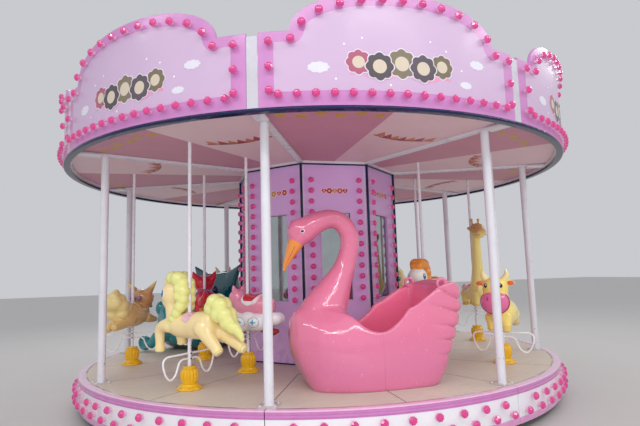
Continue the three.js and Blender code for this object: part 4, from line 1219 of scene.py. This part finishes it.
def draped(skin, place, radii, side, lift, colour):
    """An ellipse laid on one side of a skin: each point goes out to the mean distance of the
    skin's points near it, swollen by lift, and the back is sunk 6 mm in."""
    share = np.array([0, 0.4, 0.75, 0.94, 1, 1, 0])[:, None]
    turn = np.linspace(0, 2 * np.pi, 20, endpoint=False)
    forward = place[0] + radii[0] * share * np.cos(turn)
    upward = place[1] + radii[1] * share * np.sin(turn)
    near = skin[0][skin[0][:, 1] * side > 0.01]
    near = near[np.hypot(near[:, 0] - place[0], near[:, 2] - place[1]) < max(radii) + 0.03]
    off = (forward[..., None] - near[:, 0]) ** 2 + (upward[..., None] - near[:, 2]) ** 2
    weight = np.exp(-off / (2 * 0.007 ** 2)) + 1e-9
    out = (weight * np.abs(near[:, 1])).sum(-1) / weight.sum(-1)
    proud = np.where(np.arange(7)[:, None] < 4, lift * (1.2 - share ** 2), -0.006)
    points = np.stack([forward, side * (out + proud), upward], -1)
    return dyed(surface(points, round_columns=True), *colour)


def eyes(skin, ahead, up, size, tall=1.3, iris=(24, 20, 26)):
    """White ovals with an iris, a pupil and a glint on both sides of a head, in millimetres."""
    ahead, up, size = np.array([ahead, up, size]) / 1000
    layers = [(0, 0, 1.0, 0.0015, (250, 250, 252)), (0.1, 0, 0.74, 0.004, iris),
              (0.14, 0, 0.5, 0.0055, (20, 18, 22)), (0.3, 0.3, 0.2, 0.0085, (255, 255, 255))]
    return [draped(skin, (ahead + shift * size, up + climb * size), (size * share, size * share * tall),
                   side, lift, colour) for side in (-1, 1) for shift, climb, share, lift, colour in layers]


@finish
def seam_coat(wire, seam):
    """Glossy gel coat in the colours painted on it, with the mould's seam in the plane x = -seam."""
    cloud = wire.noise(3.0, 5.0)
    scuff = wire.noise(35.0, 5.0).rise(0.68, 0.05)
    low = 1 - wire.axis("Z").rise(DECK_TOP + 0.1, 0.15)
    line = (1 - abs(wire.axis("X") + seam).rise(0.0025, 0.0015)) * low.rise(0.0, 0.4)
    light = cloud.blend((0.95, 0.93, 0.96), (1.03, 1.03, 1.0))
    base = (scuff * 0.18).blend(light.tint(wire.paint()), seen(250, 215, 228))
    wire.close((line * 0.35).blend(base, seen(180, 84, 128)), cloud * 0.08 + 0.06, (0.8, 0.02),
               wire.noise(5.5, 2.0) * 4.0 + wire.noise(15.0, 1.0) * 0.9 - line * 0.5, 0.002)


swan_skin = feathered(fused([hull_shell(SWAN_HULL, SWAN_WELL, 0.03, 0.20), limb(SWAN_NECK, 32, 90, 0.8),
                             ball(600, 0, 1364, 126, 100, 122)], 0.009, 40))
swan_skin[0][:, 2] = np.maximum(swan_skin[0][:, 2], 0.001)
# Painted shade: the hull darkens towards its foot below 0.6 m. Painted light: its well is lighter.
unshaded_share = step(swan_skin[0][:, 2], 0.1, 0.6)[:, None]
swan_shells = [painted(swan_skin, blended(blended(SWAN_SHADED_LOW, SWAN_PINK, unshaded_share), SWAN_WELL_LIT,
                                          in_well(swan_skin[0], SWAN_HULL, SWAN_WELL))),
               painted(limb(SWAN_BEAK, 28, 26, 0.6), BEAK_ORANGE)] + eyes(swan_skin, 606, 1356, 20, 1.0)
for side in (-1, 1):
    mouth = np.array([(0.668, side * 0.0660, 1.226), (0.694, side * 0.0525, 1.175),
                      (0.728, side * 0.0320, 1.104), (0.756, side * 0.0150, 1.035)])
    swan_shells.append(dyed(tube(through(mouth, 20), 0.0025, 6), 176, 92, 30))
    turn = np.linspace(-0.6, 1.5 * np.pi, 26)
    curl = np.column_stack([-590 - 40 * np.cos(turn), np.full(26, side * 350),
                            856 + 40 * np.sin(turn), 20 - 2 * turn])
    swan_shells.append(painted(limb(curl, 14, 40), SWAN_PINK))
piece("swan_moulding", seam_coat("swan_coat", SWAN_SEAM),
      seated(swan_shells, CARRIAGE_ROW, 0), "swan_body", 60)


def bench(half, top, floor):
    """A moulded bench over the floor's points (forward, up): rounded along its front edge, dished
    where one sits, its underside drawn in to the hull."""
    reach = np.linspace(0, 1, 25)[:, None]
    side = np.linspace(-1, 1, 33)
    forward = floor[0, 0] + (floor[-1, 0] - floor[0, 0]) * reach + 0 * side
    dish = 0.018 * np.sin(np.pi * reach) * (1 - side ** 4)
    level = top - dish - 0.03 * (1 - step(reach, 0, 0.12))
    across = half * side * (1 - 0.08 * reach)
    under = np.interp(-forward, -floor[:, 0], floor[:, 1])
    return skinned(np.concatenate([np.stack([forward, across, level], -1),
                                   np.stack([forward, across * 0.7, under], -1)[::-1]]))


SWAN_BENCH_FLOOR = np.array([(-0.25, 0.112), (-0.389, 0.114), (-0.505, 0.145), (-0.550, 0.222)])
# The bench takes the well's lighter pink, painted light against the shade in the well.
piece("swan_bench", gel_coat("bench_pink", SWAN_WELL_LIT),
      seated([bench(0.345, 0.33, SWAN_BENCH_FLOOR)], CARRIAGE_ROW, 0), "swan_seat", 50)


# The sea dragon
# The second carriage, moulded in dark teal gel coat flecked with pale blue: a low hull, a broad
# head before the riders with a two-pointed frill behind it, and a tail rolled up at the back.
SEA_SECTOR = -3
SEA_HULL = np.array([
    (640, 200, 330, 430, 60, 120, 60),
    (560, 60, 340, 600, 180, 290, 190),
    (400, 1, 340, 640, 280, 400, 270),
    (220, 1, 340, 560, 340, 445, 350),
    (60, 1, 340, 455, 365, 455, 430),
    (-100, 1, 340, 415, 370, 455, 440),
    (-260, 1, 340, 455, 360, 455, 435),
    (-400, 1, 350, 570, 335, 445, 420),
    (-540, 40, 380, 660, 290, 420, 390),
    (-680, 120, 340, 610, 220, 340, 290),
    (-750, 240, 340, 460, 120, 180, 130)]) / 1000
SEA_WELL = (0.200, -0.500)
SEA_TAIL = [(-600, 20, 360, 160), (-660, 60, 330, 145), (-735, 190, 215, 112), (-790, 300, 105, 74),
            (-800, 360, 62, 48)]
TEAL, TEAL_BRIGHT = seen(6, 92, 104), seen(26, 140, 146)


def frill_shell():
    """Two pointed ears joined over the head: a cushion whose thickness falls to nothing at its
    outline, which goes from the middle of the back out to the points."""
    across = np.linspace(-1, 1, 61)
    high = np.interp(np.abs(across), [0, 0.44, 1.0], [1.03, 1.035, 1.145])
    low = np.interp(np.abs(across), [0, 0.4, 0.763, 1.0], [0.55, 0.55, 0.80, 1.143])
    level = np.linspace(0, 1, 25)[:, None]
    thick = 0.070 * np.sqrt(np.clip(1 - (2 * level - 1) ** 2, 0, 1)) * np.sqrt(1 - 0.9 * across ** 2)
    face = [np.stack([0.155 + way * thick, 0.452 * across + 0 * level, low + (high - low) * level], -1)
            for way in (1, -1)]
    return skinned(np.concatenate([face[0], face[1][::-1]]))


def tail_roll():
    """A spiral rolled outwards: its reach shrinks while it turns one and a half times, and the
    tail is twice as thick along its middle line as across."""
    turn = np.linspace(0, 3.3 * np.pi, 70)
    reach = 0.092 - 0.0084 * turn
    path = np.column_stack([-0.800 + 0 * turn, 0.435 + reach * np.cos(turn - 2.4),
                            0.1225 + reach * np.sin(turn - 2.4)])
    points, cells = tube(path, 0.030 - 0.0016 * turn, 16)
    return (points + (0.8, 0, 0)) * (2.1, 1, 1) - (0.8, 0, 0), cells


def twins(points, sides=16, steps=20):
    """The same bar on both sides: its points' outwards kept, then turned inwards."""
    return [limb(np.array(points) * (1, side, 1, 1), sides, steps) for side in (1, -1)]


def dots(colour, x, y, *rest):
    """The same small ellipsoid on both sides, in one colour."""
    return [dyed(ball(x, side * y, *rest), *colour) for side in (-1, 1)]


sea_skin = fused([hull_shell(SEA_HULL, SEA_WELL, 0.02, 0, 120), ball(360, 0, 800, 238, 204, 258),
                  ball(555, 0, 705, 118, 148, 110), frill_shell(), limb(SEA_TAIL, 24, 40, 0.3),
                  ball(-640, 300, 560, 90, 75, 105), tail_roll()], 0.0105)
brighter = np.maximum(in_well(sea_skin[0], SEA_HULL, SEA_WELL), 1 - step(sea_skin[0][:, :1], -0.7, -0.5))
sea_shells = [painted(sea_skin, blended(TEAL, TEAL_BRIGHT, brighter)),
              dyed(ball(110, 0, 771, 72), 12, 20, 74)] + eyes(sea_skin, 470, 860, 40)
sea_shells += dots((10, 44, 52), 640, 60, 745, 20, 14, 18, 12)
sea_shells += [dyed(horn, 238, 214, 170) for horn in twins(
    [(300, 100, 1020, 30), (285, 125, 1070, 22), (270, 140, 1115, 6)], 12, 12)]


@finish
def sea_coat(wire):
    """Teal gel coat with small pale flecks in cloudy patches."""
    cloud = wire.noise(4.0, 5.0)
    flecks = wire.noise(22.0).rise(0.66, 0.015) * cloud.rise(0.5, 0.1)
    light = cloud.blend((0.75, 0.8, 0.8), (1.25, 1.2, 1.2))
    wire.close((flecks * 0.75).blend(light.tint(wire.paint()), seen(168, 214, 226)),
               cloud * 0.06 + 0.04, (0.9, 0.02), wire.noise(8.0, 2.0) * 2.0, 0.0015)


SEA_BENCH_FLOOR = np.array([(-0.25, 0.112), (-0.40, 0.112), (-0.49, 0.113)])
piece("sea_dragon_moulding", sea_coat("sea_coat"),
      seated(sea_shells, CARRIAGE_ROW, SEA_SECTOR), "sea_dragon_body", 60)
piece("sea_dragon_bench", gel_coat("bench_teal", seen(42, 130, 136)),
      seated([bench(0.320, 0.33, SEA_BENCH_FLOOR)], CARRIAGE_ROW, SEA_SECTOR), "sea_dragon_seat", 50)


# The ponies
# Fibreglass mouldings in cream gel coat with lemon manes and tails modelled as heaped curls.
# The pole passes through the saddle. The white horse is the same moulding in other colours.
ANIMAL_VOXEL, CURL_VOXEL, CURL_GAIN = 0.0095, 0.0085, 1.1
CREAM, LEMON = seen(250, 226, 166), seen(238, 238, 150)


def animal_coat(name, gloss=0.12):
    """Gel coat in the colours painted on it, uneven by a few hundredths and faintly rippled."""
    return gel_coat(name, None, gloss, 0.05, 0.35)


def leg(outwards, *points):
    """A leg's bar through points (forward, up, radius) at one distance outwards."""
    return limb([(forward, outwards, up, radius) for forward, up, radius in points])


def heaped(rows, rounds=7):
    """Curls heaped in one moulding: balls at (forward, outwards, up, radius), those off the middle
    on both sides, fused and relaxed, which leaves shallow creases between them."""
    return fused([ball(f, side * o, z, r * CURL_GAIN) for f, o, z, r in rows
                  for side in ((1, -1) if o else (1,))], CURL_VOXEL, rounds)


def saddle(front, back, level, half, drop, sag=0.02, lift=0.012):
    """A pad laid over the back, in millimetres: forward by across, bent down at its sides, with a
    rolled rim."""
    front, back, level, half, drop = np.array([front, back, level, half, drop]) / 1000
    along = np.linspace(-1, 1, 25)[:, None]
    side = np.linspace(-1, 1, 33)
    reach = np.sqrt(np.clip(1 - 0.75 * side ** 4, 0, 1))
    forward = (front + back) / 2 + (front - back) / 2 * along * reach
    swell = 1 - np.maximum(np.abs(along), np.abs(side)) ** 6 * 0.75
    bend = side * np.pi / 2 * 0.92
    top_y, top_z = np.sin(bend) * half, level - drop * (1 - np.cos(bend)) - sag * (1 - along ** 2)
    over = np.stack([forward, top_y + lift * np.sin(bend) * swell, top_z + lift * swell], -1)
    under = np.stack([forward, top_y * 0.9 + 0 * along, top_z - 0.02], -1)
    return skinned(np.concatenate([over, under[::-1]]))


def hooves(ends, colour, sole):
    """A flared cuff and a pale sole on each leg's end: forward, outwards, up and radius in
    millimetres, then how far the leg leans."""
    shells = []
    for f, o, z, radius, lean in ends:
        cuff = [(f - lean * 50, o, z + 50, radius * 0.98), (f - lean * 20, o, z + 20, radius * 1.04),
                (f, o, z, radius * 1.07)]
        shells.append(painted(limb(cuff, 24, 10, 0.12), colour))
        pad = [(f, o, z, radius * 0.8), (f + lean * 9, o, z - 9, radius * 0.8)]
        shells.append(painted(limb(pad, 24, 4, 0.1), sole))
    return shells


PONY_HOOVES = [(312, 58, 322, 43, 0.0), (152, -56, 378, 41, -0.1),
               (-396, 62, 342, 45, -0.9), (-560, -62, 366, 43, -1.8)]
pony_skin = fused([
    limb([(225, 0, 565, 75), (120, 0, 552, 108), (-20, 0, 545, 110),
          (-150, 0, 556, 122), (-280, 0, 584, 100)], 28, 40),
    limb([(150, 0, 570, 100), (195, 0, 690, 78), (205, 0, 800, 82)]),
    ball(206, 0, 828, 118, 107, 118), limb([(216, 0, 785, 88), (272, 0, 755, 69)]),
    limb([(180, 58, 545, 62), (262, 60, 545, 56), (312, 60, 500, 48),
          (314, 58, 400, 41), (312, 58, 330, 42)]),
    leg(-56, (175, 520, 58), (165, 440, 46), (152, 385, 40)),
    leg(62, (-180, 565, 70), (-215, 540, 82), (-290, 460, 64), (-396, 350, 44)),
    leg(-62, (-200, 565, 70), (-250, 540, 82), (-400, 455, 60), (-560, 372, 43)),
], ANIMAL_VOXEL, 14)
pony_hair = [heaped([
    (232, 24, 944, 44), (180, 30, 974, 58), (110, 34, 966, 64),
    (52, 36, 920, 58), (34, 38, 850, 54), (38, 42, 780, 50),
    (62, 55, 715, 50), (95, 70, 660, 43), (130, 80, 612, 36),
    (165, 80, 572, 30), (195, 72, 545, 22), (74, 62, 880, 46),
    (74, 64, 810, 42), (90, 0, 940, 70), (55, 0, 850, 68), (50, 0, 760, 60)]), heaped([
        (-262, 0, 645, 60), (-290, 22, 705, 66), (-322, 26, 758, 66),
        (-378, 26, 728, 70), (-372, 30, 655, 68), (-436, 28, 646, 68),
        (-462, 20, 588, 62), (-512, 12, 545, 50), (-556, 0, 515, 40),
        (-588, 0, 480, 30), (-604, 0, 448, 20), (-548, 0, 548, 28)])]


def pony_shells(coat, hair, cuff, sole, pad, lift):
    shells = [painted(pony_skin, coat)] + [painted(curls, hair) for curls in pony_hair]
    shells += hooves(PONY_HOOVES, cuff, sole) + eyes(pony_skin, 246, 838, 32, 1.5, (70, 120, 170))
    shells.append(painted(saddle(4, -120, 668, 105, 75), pad))
    shells += [painted(ball(336, side * 26, 762, 6, 7, 9, 8),
                       blended(coat, (0.2, 0.1, 0.1), 0.6)) for side in (-1, 1)]
    return [carried(shell, 0, (0, 0, lift)) for shell in shells]


def mount(slot, coat, shells, *names):
    """Puts a moulding on the poles of its name, each riding on its own body."""
    for name in names:
        piece(f"{name}_moulding", coat, seated(shells, *RIDES[name]), name, 60, f"{name}_jumper")


pony_coat = animal_coat("pony_coat")
mount("pony_cream", pony_coat, pony_shells(CREAM, LEMON, seen(250, 230, 156), seen(252, 238, 180),
                                           seen(240, 190, 204), 0), "pony", "pony_second")
mount("horse_white", pony_coat,
      pony_shells(seen(240, 238, 232), seen(238, 150, 46), seen(226, 196, 120), seen(240, 226, 190),
                  seen(206, 70, 96), INNER_LIFT), "white_horse")


# The foxes
# Tan mouldings bolted a little askew, head turned inwards, with tall spread ears, a cream tail
# heaped over the rump, and a small mauve bow at the neck.
TAN, FOX_BODY, FOX_CREAM = seen(200, 152, 100), seen(226, 194, 126), seen(238, 216, 146)
FOX_TURN, FOX_GAIN, FOX_LEVEL = np.radians(-28), 1.1, 0.6
fox_skin = fused([
    limb([(200, 0, 568, 78), (80, 0, 558, 112), (-80, 0, 566, 128),
          (-200, 0, 580, 118), (-260, 0, 585, 84)]),
    limb([(110, 0, 570, 96), (155, 0, 640, 86), (170, 0, 710, 84)]),
    ball(182, 0, 728, 108, 122, 102),
    limb([(235, 0, 702, 70), (292, 0, 668, 42), (334, 0, 634, 23)]),
    *twins([(168, 70, 785, 48), (167, 125, 850, 28), (166, 182, 918, 6)]),
    leg(58, (150, 530, 56), (255, 520, 46), (365, 502, 28)),
    leg(-58, (150, 530, 56), (240, 506, 46), (340, 488, 30)),
    leg(58, (-130, 530, 72), (-240, 486, 52), (-340, 450, 40)),
    leg(-58, (-130, 530, 72), (-262, 494, 52), (-388, 470, 38))], ANIMAL_VOXEL)
fox_tail = heaped([
    (-160, 45, 610, 62), (-205, 50, 650, 66), (-262, 52, 672, 70),
    (-312, 30, 702, 64), (-262, 20, 725, 70), (-316, 12, 762, 50),
    (-284, 0, 806, 34), (-250, 56, 600, 60)])
forward, _, level = fox_skin[0].T
tan_part = (step(level + forward * 0.5, 0.66, 0.70) * (1 - step(level, 0.83, 0.86)))[:, None]
fox_shells = [painted(fox_skin, blended(FOX_BODY, TAN, tan_part)), painted(fox_tail, FOX_CREAM),
              dyed(ball(346, 0, 628, 13, 16, 12, 12), 52, 36, 34),
              dyed(saddle(10, -115, 690, 118, 105), 222, 188, 118)]
fox_shells += eyes(fox_skin, 236, 748, 20)
fox_shells += [dyed(bow, 152, 116, 160) for bow in twins(
    [(60, 10, 722, 10), (52, 45, 735, 27), (52, 62, 733, 18)])]
# The whole moulding is enlarged about one level above the deck and turned on its pole.
fox_shells = [carried((points * FOX_GAIN + (0, 0, FOX_LEVEL - FOX_LEVEL * FOX_GAIN), *rest), FOX_TURN)
              for points, *rest in fox_shells]
mount("fox_tan", animal_coat("fox_coat"), fox_shells, "fox", "fox_second")


# The cow
# A butter-yellow moulding with a broad pink muzzle, short horns and orange-lined ears.
BUTTER = seen(252, 228, 124)
cow_skin = fused([
    limb([(190, 0, 520, 86), (60, 0, 502, 136), (-140, 0, 510, 147), (-246, 0, 528, 100)], 28),
    limb([(130, 0, 550, 106), (170, 0, 640, 100), (195, 0, 730, 102)]),
    ball(198, 0, 768, 126, 130, 124), ball(222, 0, 680, 112, 130, 108),
    leg(75, (140, 490, 62), (160, 420, 52), (188, 352, 46)),
    leg(-75, (140, 490, 62), (125, 420, 50), (110, 352, 46)),
    leg(75, (-160, 490, 82), (-240, 438, 60), (-325, 398, 48)),
    leg(-75, (-160, 490, 82), (-215, 428, 60), (-275, 378, 48)),
    limb([(-230, 0, 560, 20), (-262, 0, 500, 16), (-262, 0, 430, 18)], 12),
    *twins([(185, 85, 815, 34), (180, 135, 828, 32), (178, 190, 820, 14)]),
], ANIMAL_VOXEL, 9)
rim = np.linspace(0, 2 * np.pi, 48, endpoint=False)
muzzle_rim = np.column_stack([0.266 + 0 * rim, 0.139 * np.cos(rim), 0.636 + 0.120 * np.sin(rim)])
cow_shells = [painted(cow_skin, BUTTER),
              dyed(ball(270, 0, 636, 98, 136, 117, 36), 232, 116, 166),
              dyed(tube(muzzle_rim, 0.007, 8, closed=True), 186, 60, 96),
              dyed(saddle(10, -150, 632, 132, 120), 206, 226, 120)]
cow_shells += [dyed(horn, 250, 232, 166) for horn in twins(
    [(190, 86, 852, 38), (190, 116, 906, 28), (196, 112, 965, 7)])]
cow_shells += dots((238, 106, 62), 206, 150, 824, 16, 40, 22, 16)
cow_shells += dots((184, 66, 114), 352, 48, 672, 14, 15, 22, 12)
# The eyes: black dots, each with a small white dot as a painted glint.
cow_shells += dots((30, 26, 28), 296, 72, 800, 14, 19, 23, 14)
cow_shells += dots((252, 252, 255), 309, 68, 808, 5, 6, 7, 8)
cow_shells += hooves([(188, 75, 349, 46, 0), (110, -75, 349, 46, 0),
                      (-330, 75, 392, 48, -1.8), (-280, -75, 372, 48, -1.2)],
                     seen(236, 206, 110), seen(240, 220, 150))
mount("cow_cream", animal_coat("cow_coat"), cow_shells, "cow")


# The giraffe
# A tall yellow moulding with a tan head, its smile cut as a groove, and a pink saddle.
giraffe_skin = fused([
    limb([(180, 0, 680, 88), (50, 0, 660, 114), (-130, 0, 665, 114), (-225, 0, 690, 80)]),
    limb([(85, 0, 690, 112), (105, 0, 800, 98), (112, 0, 950, 78),
          (116, 0, 1150, 65), (122, 0, 1330, 58), (135, 0, 1460, 60)], 24, 60),
    ball(162, 0, 1500, 122, 95, 98), limb([(185, 0, 1480, 84), (256, 0, 1452, 74)]),
    leg(62, (140, 640, 62), (145, 560, 48), (150, 482, 44)),
    leg(-62, (140, 640, 62), (130, 560, 48), (120, 482, 44)),
    leg(62, (-150, 640, 68), (-160, 560, 50), (-170, 482, 44)),
    leg(-62, (-150, 640, 68), (-152, 560, 50), (-150, 482, 44)),
    *twins([(140, 70, 1510, 26), (130, 100, 1525, 26), (120, 128, 1530, 10)]),
    limb([(-225, 0, 720, 20), (-255, 0, 640, 14), (-258, 0, 560, 22)], 12),
], ANIMAL_VOXEL)
tan_head = step(giraffe_skin[0][:, 2], 1.40, 1.50)[:, None]
giraffe_shells = [painted(giraffe_skin, blended(seen(250, 230, 140), seen(206, 158, 94), tan_head)),
                  dyed(saddle(0, -150, 782, 118, 100), 238, 184, 198)]
giraffe_shells += [dyed(horn, 222, 168, 88) for horn in twins(
    [(130, 42, 1565, 15), (124, 48, 1615, 13), (120, 52, 1652, 19)], 14)]
giraffe_shells += eyes(giraffe_skin, 218, 1520, 18)
for side in (-1, 1):
    smile = [(0.308, side * 0.044, 1.428), (0.278, side * 0.066, 1.418), (0.245, side * 0.078, 1.430)]
    giraffe_shells.append(dyed(tube(through(smile, 14), 0.003, 6), 140, 92, 50))
giraffe_shells += hooves([(150, 62, 480, 44, 0), (120, -62, 480, 44, 0),
                          (-170, 62, 480, 44, 0), (-150, -62, 480, 44, 0)],
                         seen(232, 190, 96), seen(240, 214, 140))
mount("giraffe_yellow", animal_coat("giraffe_coat"), giraffe_shells, "giraffe")


# The cloud pigs
# A rose-pink pig on a puffed white cloud with three blue discs to each side, and a red saddle.
pig_skin = fused([
    limb([(180, 0, 645, 66), (60, 0, 660, 116), (-130, 0, 660, 118), (-225, 0, 650, 74)]),
    ball(150, 0, 745, 108, 102, 94),
    limb([(220, 0, 725, 52), (262, 0, 718, 46), (285, 0, 715, 44)], 20, 20, 0.25),
    *twins([(135, 55, 800, 40), (137, 74, 842, 28), (142, 84, 880, 8)]),
    limb([(-230, 0, 680, 20), (-262, 10, 706, 14), (-262, 22, 738, 10)], 10),
], ANIMAL_VOXEL)
cloud_skin = heaped([
    (150, 0, 520, 95), (140, 62, 518, 74), (205, 40, 530, 66),
    (10, 70, 508, 88), (-140, 66, 510, 84), (75, 75, 540, 72),
    (-65, 78, 540, 74), (-215, 45, 528, 72), (-278, 20, 540, 60), (-60, 0, 500, 85)])
# Each disc's layers: half width and half height, how proud, colour. The first layer, a grey-blue ring just
# outside the white disc, is painted shade round the disc's raised edge.
CLOUD_DISC = [((0.056, 0.056), 0.005, (178, 206, 222)), ((0.049, 0.049), 0.008, (250, 251, 254)),
              ((0.038, 0.016), 0.010, (60, 168, 214)), ((0.016, 0.038), 0.010, (60, 168, 214))]
pig_shells = [dyed(pig_skin, 236, 146, 176), dyed(cloud_skin, 246, 244, 248),
              dyed(saddle(8, -158, 783, 124, 105), 246, 240, 244),
              dyed(saddle(-8, -142, 790, 118, 95), 206, 36, 62),
              dyed(limb([(-150, 0, 450, 50), (-225, 0, 412, 44), (-290, 0, 420, 20)], 16), 160, 34, 40)]
for side in (-1, 1):
    pig_shells += [draped(cloud_skin, (ahead, 0.512), radii, side, lift, shade)
                   for ahead in (0.118, -0.012, -0.142) for radii, lift, shade in CLOUD_DISC]
    pig_shells.append(dyed(ball(297, side * 17, 715, 5, 6, 10, 10), 180, 80, 112))
pig_shells += eyes(pig_skin, 212, 772, 16)
# The whole moulding is longer behind its pole and shorter before it.
pig_shells = [(points * np.where(points[:, :1] < 0, (1.3, 1, 1), (0.86, 1, 1)), *rest)
              for points, *rest in pig_shells]
mount("pig_pink", animal_coat("pig_coat"), pig_shells, "cloud_pig", "cloud_pig_second")


# The dragon
# A dark red moulding with teal-lined ears, mauve back spines and a yellow belly.
dragon_skin = fused([
    limb([(150, 0, 720, 82), (40, 0, 700, 120), (-110, 0, 700, 120),
          (-220, 0, 690, 80), (-320, 0, 745, 42), (-400, 0, 820, 10)], 24, 50),
    limb([(90, 0, 730, 100), (120, 0, 800, 88), (145, 0, 860, 88)]),
    ball(165, 0, 885, 128, 122, 108), limb([(210, 0, 870, 80), (290, 0, 850, 70)]),
    leg(70, (100, 680, 60), (140, 620, 48), (170, 566, 44)),
    leg(-70, (100, 680, 60), (130, 620, 48), (150, 556, 44)),
    leg(70, (-120, 680, 68), (-145, 610, 52), (-160, 556, 44)),
    leg(-70, (-120, 680, 68), (-160, 620, 52), (-190, 566, 44)),
    *twins([(135, 72, 925, 58), (128, 108, 975, 44), (112, 138, 1040, 10)]),
], ANIMAL_VOXEL)
_, outwards, level = np.abs(dragon_skin[0]).T
dragon_belly = ((1 - step(level, 0.600, 0.628)) * (1 - step(outwards, 0.05, 0.07)))[:, None]
dragon_shells = [painted(dragon_skin, blended(seen(214, 22, 50), seen(236, 190, 90), dragon_belly)),
                 dyed(saddle(0, -140, 826, 122, 105), 150, 96, 160)]
for ahead, up in [(60, 960), (30, 880), (-210, 770), (-280, 775)]:
    spine = [(ahead, 0, up, 26), (ahead - 12, 0, up + 30, 16), (ahead - 26, 0, up + 50, 4)]
    dragon_shells.append(dyed(limb(spine, 12, 10), 128, 84, 158))
dragon_shells += [dyed(lining, 32, 110, 116) for lining in twins(
    [(170, 84, 925, 36), (160, 112, 970, 28), (142, 134, 1015, 6)])]
dragon_shells += eyes(dragon_skin, 245, 912, 24)
dragon_shells += dots((90, 10, 30), 346, 28, 872, 10, 9, 9, 10)
mount("dragon_red", animal_coat("dragon_coat"), dragon_shells, "dragon")


# The elephants
# Lilac mouldings with white-lined ears, a raised trunk and a white blanket under the saddle.
elephant_skin = fused([
    limb([(180, 0, 640, 86), (50, 0, 632, 130), (-130, 0, 636, 132), (-232, 0, 640, 84)], 28),
    ball(180, 0, 770, 120, 114, 112), limb([(130, 0, 660, 110), (170, 0, 740, 100)]),
    limb([(250, 0, 745, 58), (310, 0, 685, 44), (350, 0, 625, 36),
          (392, 0, 602, 31), (425, 0, 632, 28), (432, 0, 655, 27)], 20, 40, 0.3),
    leg(72, (120, 600, 64), (126, 540, 54), (130, 478, 51)),
    leg(-72, (120, 600, 64), (126, 540, 54), (130, 478, 51)),
    leg(72, (-150, 600, 70), (-155, 540, 56), (-160, 478, 51)),
    leg(-72, (-150, 600, 70), (-155, 540, 56), (-160, 478, 51)),
    ball(145, 150, 785, 30, 82, 92), ball(145, -150, 785, 30, 82, 92),
    limb([(-235, 0, 690, 16), (-262, 0, 630, 12), (-262, 0, 570, 16)], 10),
], ANIMAL_VOXEL)
elephant_shells = [dyed(elephant_skin, 186, 164, 214),
                   dyed(saddle(30, -180, 766, 136, 125), 240, 238, 244),
                   dyed(saddle(0, -150, 776, 118, 85), 214, 110, 150)]
elephant_shells += dots((240, 226, 238), 166, 152, 785, 18, 62, 72)
elephant_shells += eyes(elephant_skin, 258, 808, 18)
elephant_shells += [dyed(tusk, 248, 244, 232) for tusk in twins(
    [(285, 50, 710, 14), (312, 56, 680, 11), (338, 56, 672, 5)], 10)]
elephant_shells += hooves([(130, 72, 474, 51, 0), (130, -72, 474, 51, 0),
                           (-160, 72, 474, 51, 0), (-160, -72, 474, 51, 0)],
                          seen(170, 148, 202), seen(226, 214, 236))
mount("elephant_lilac", animal_coat("elephant_coat"), elephant_shells, "elephant", "elephant_second")
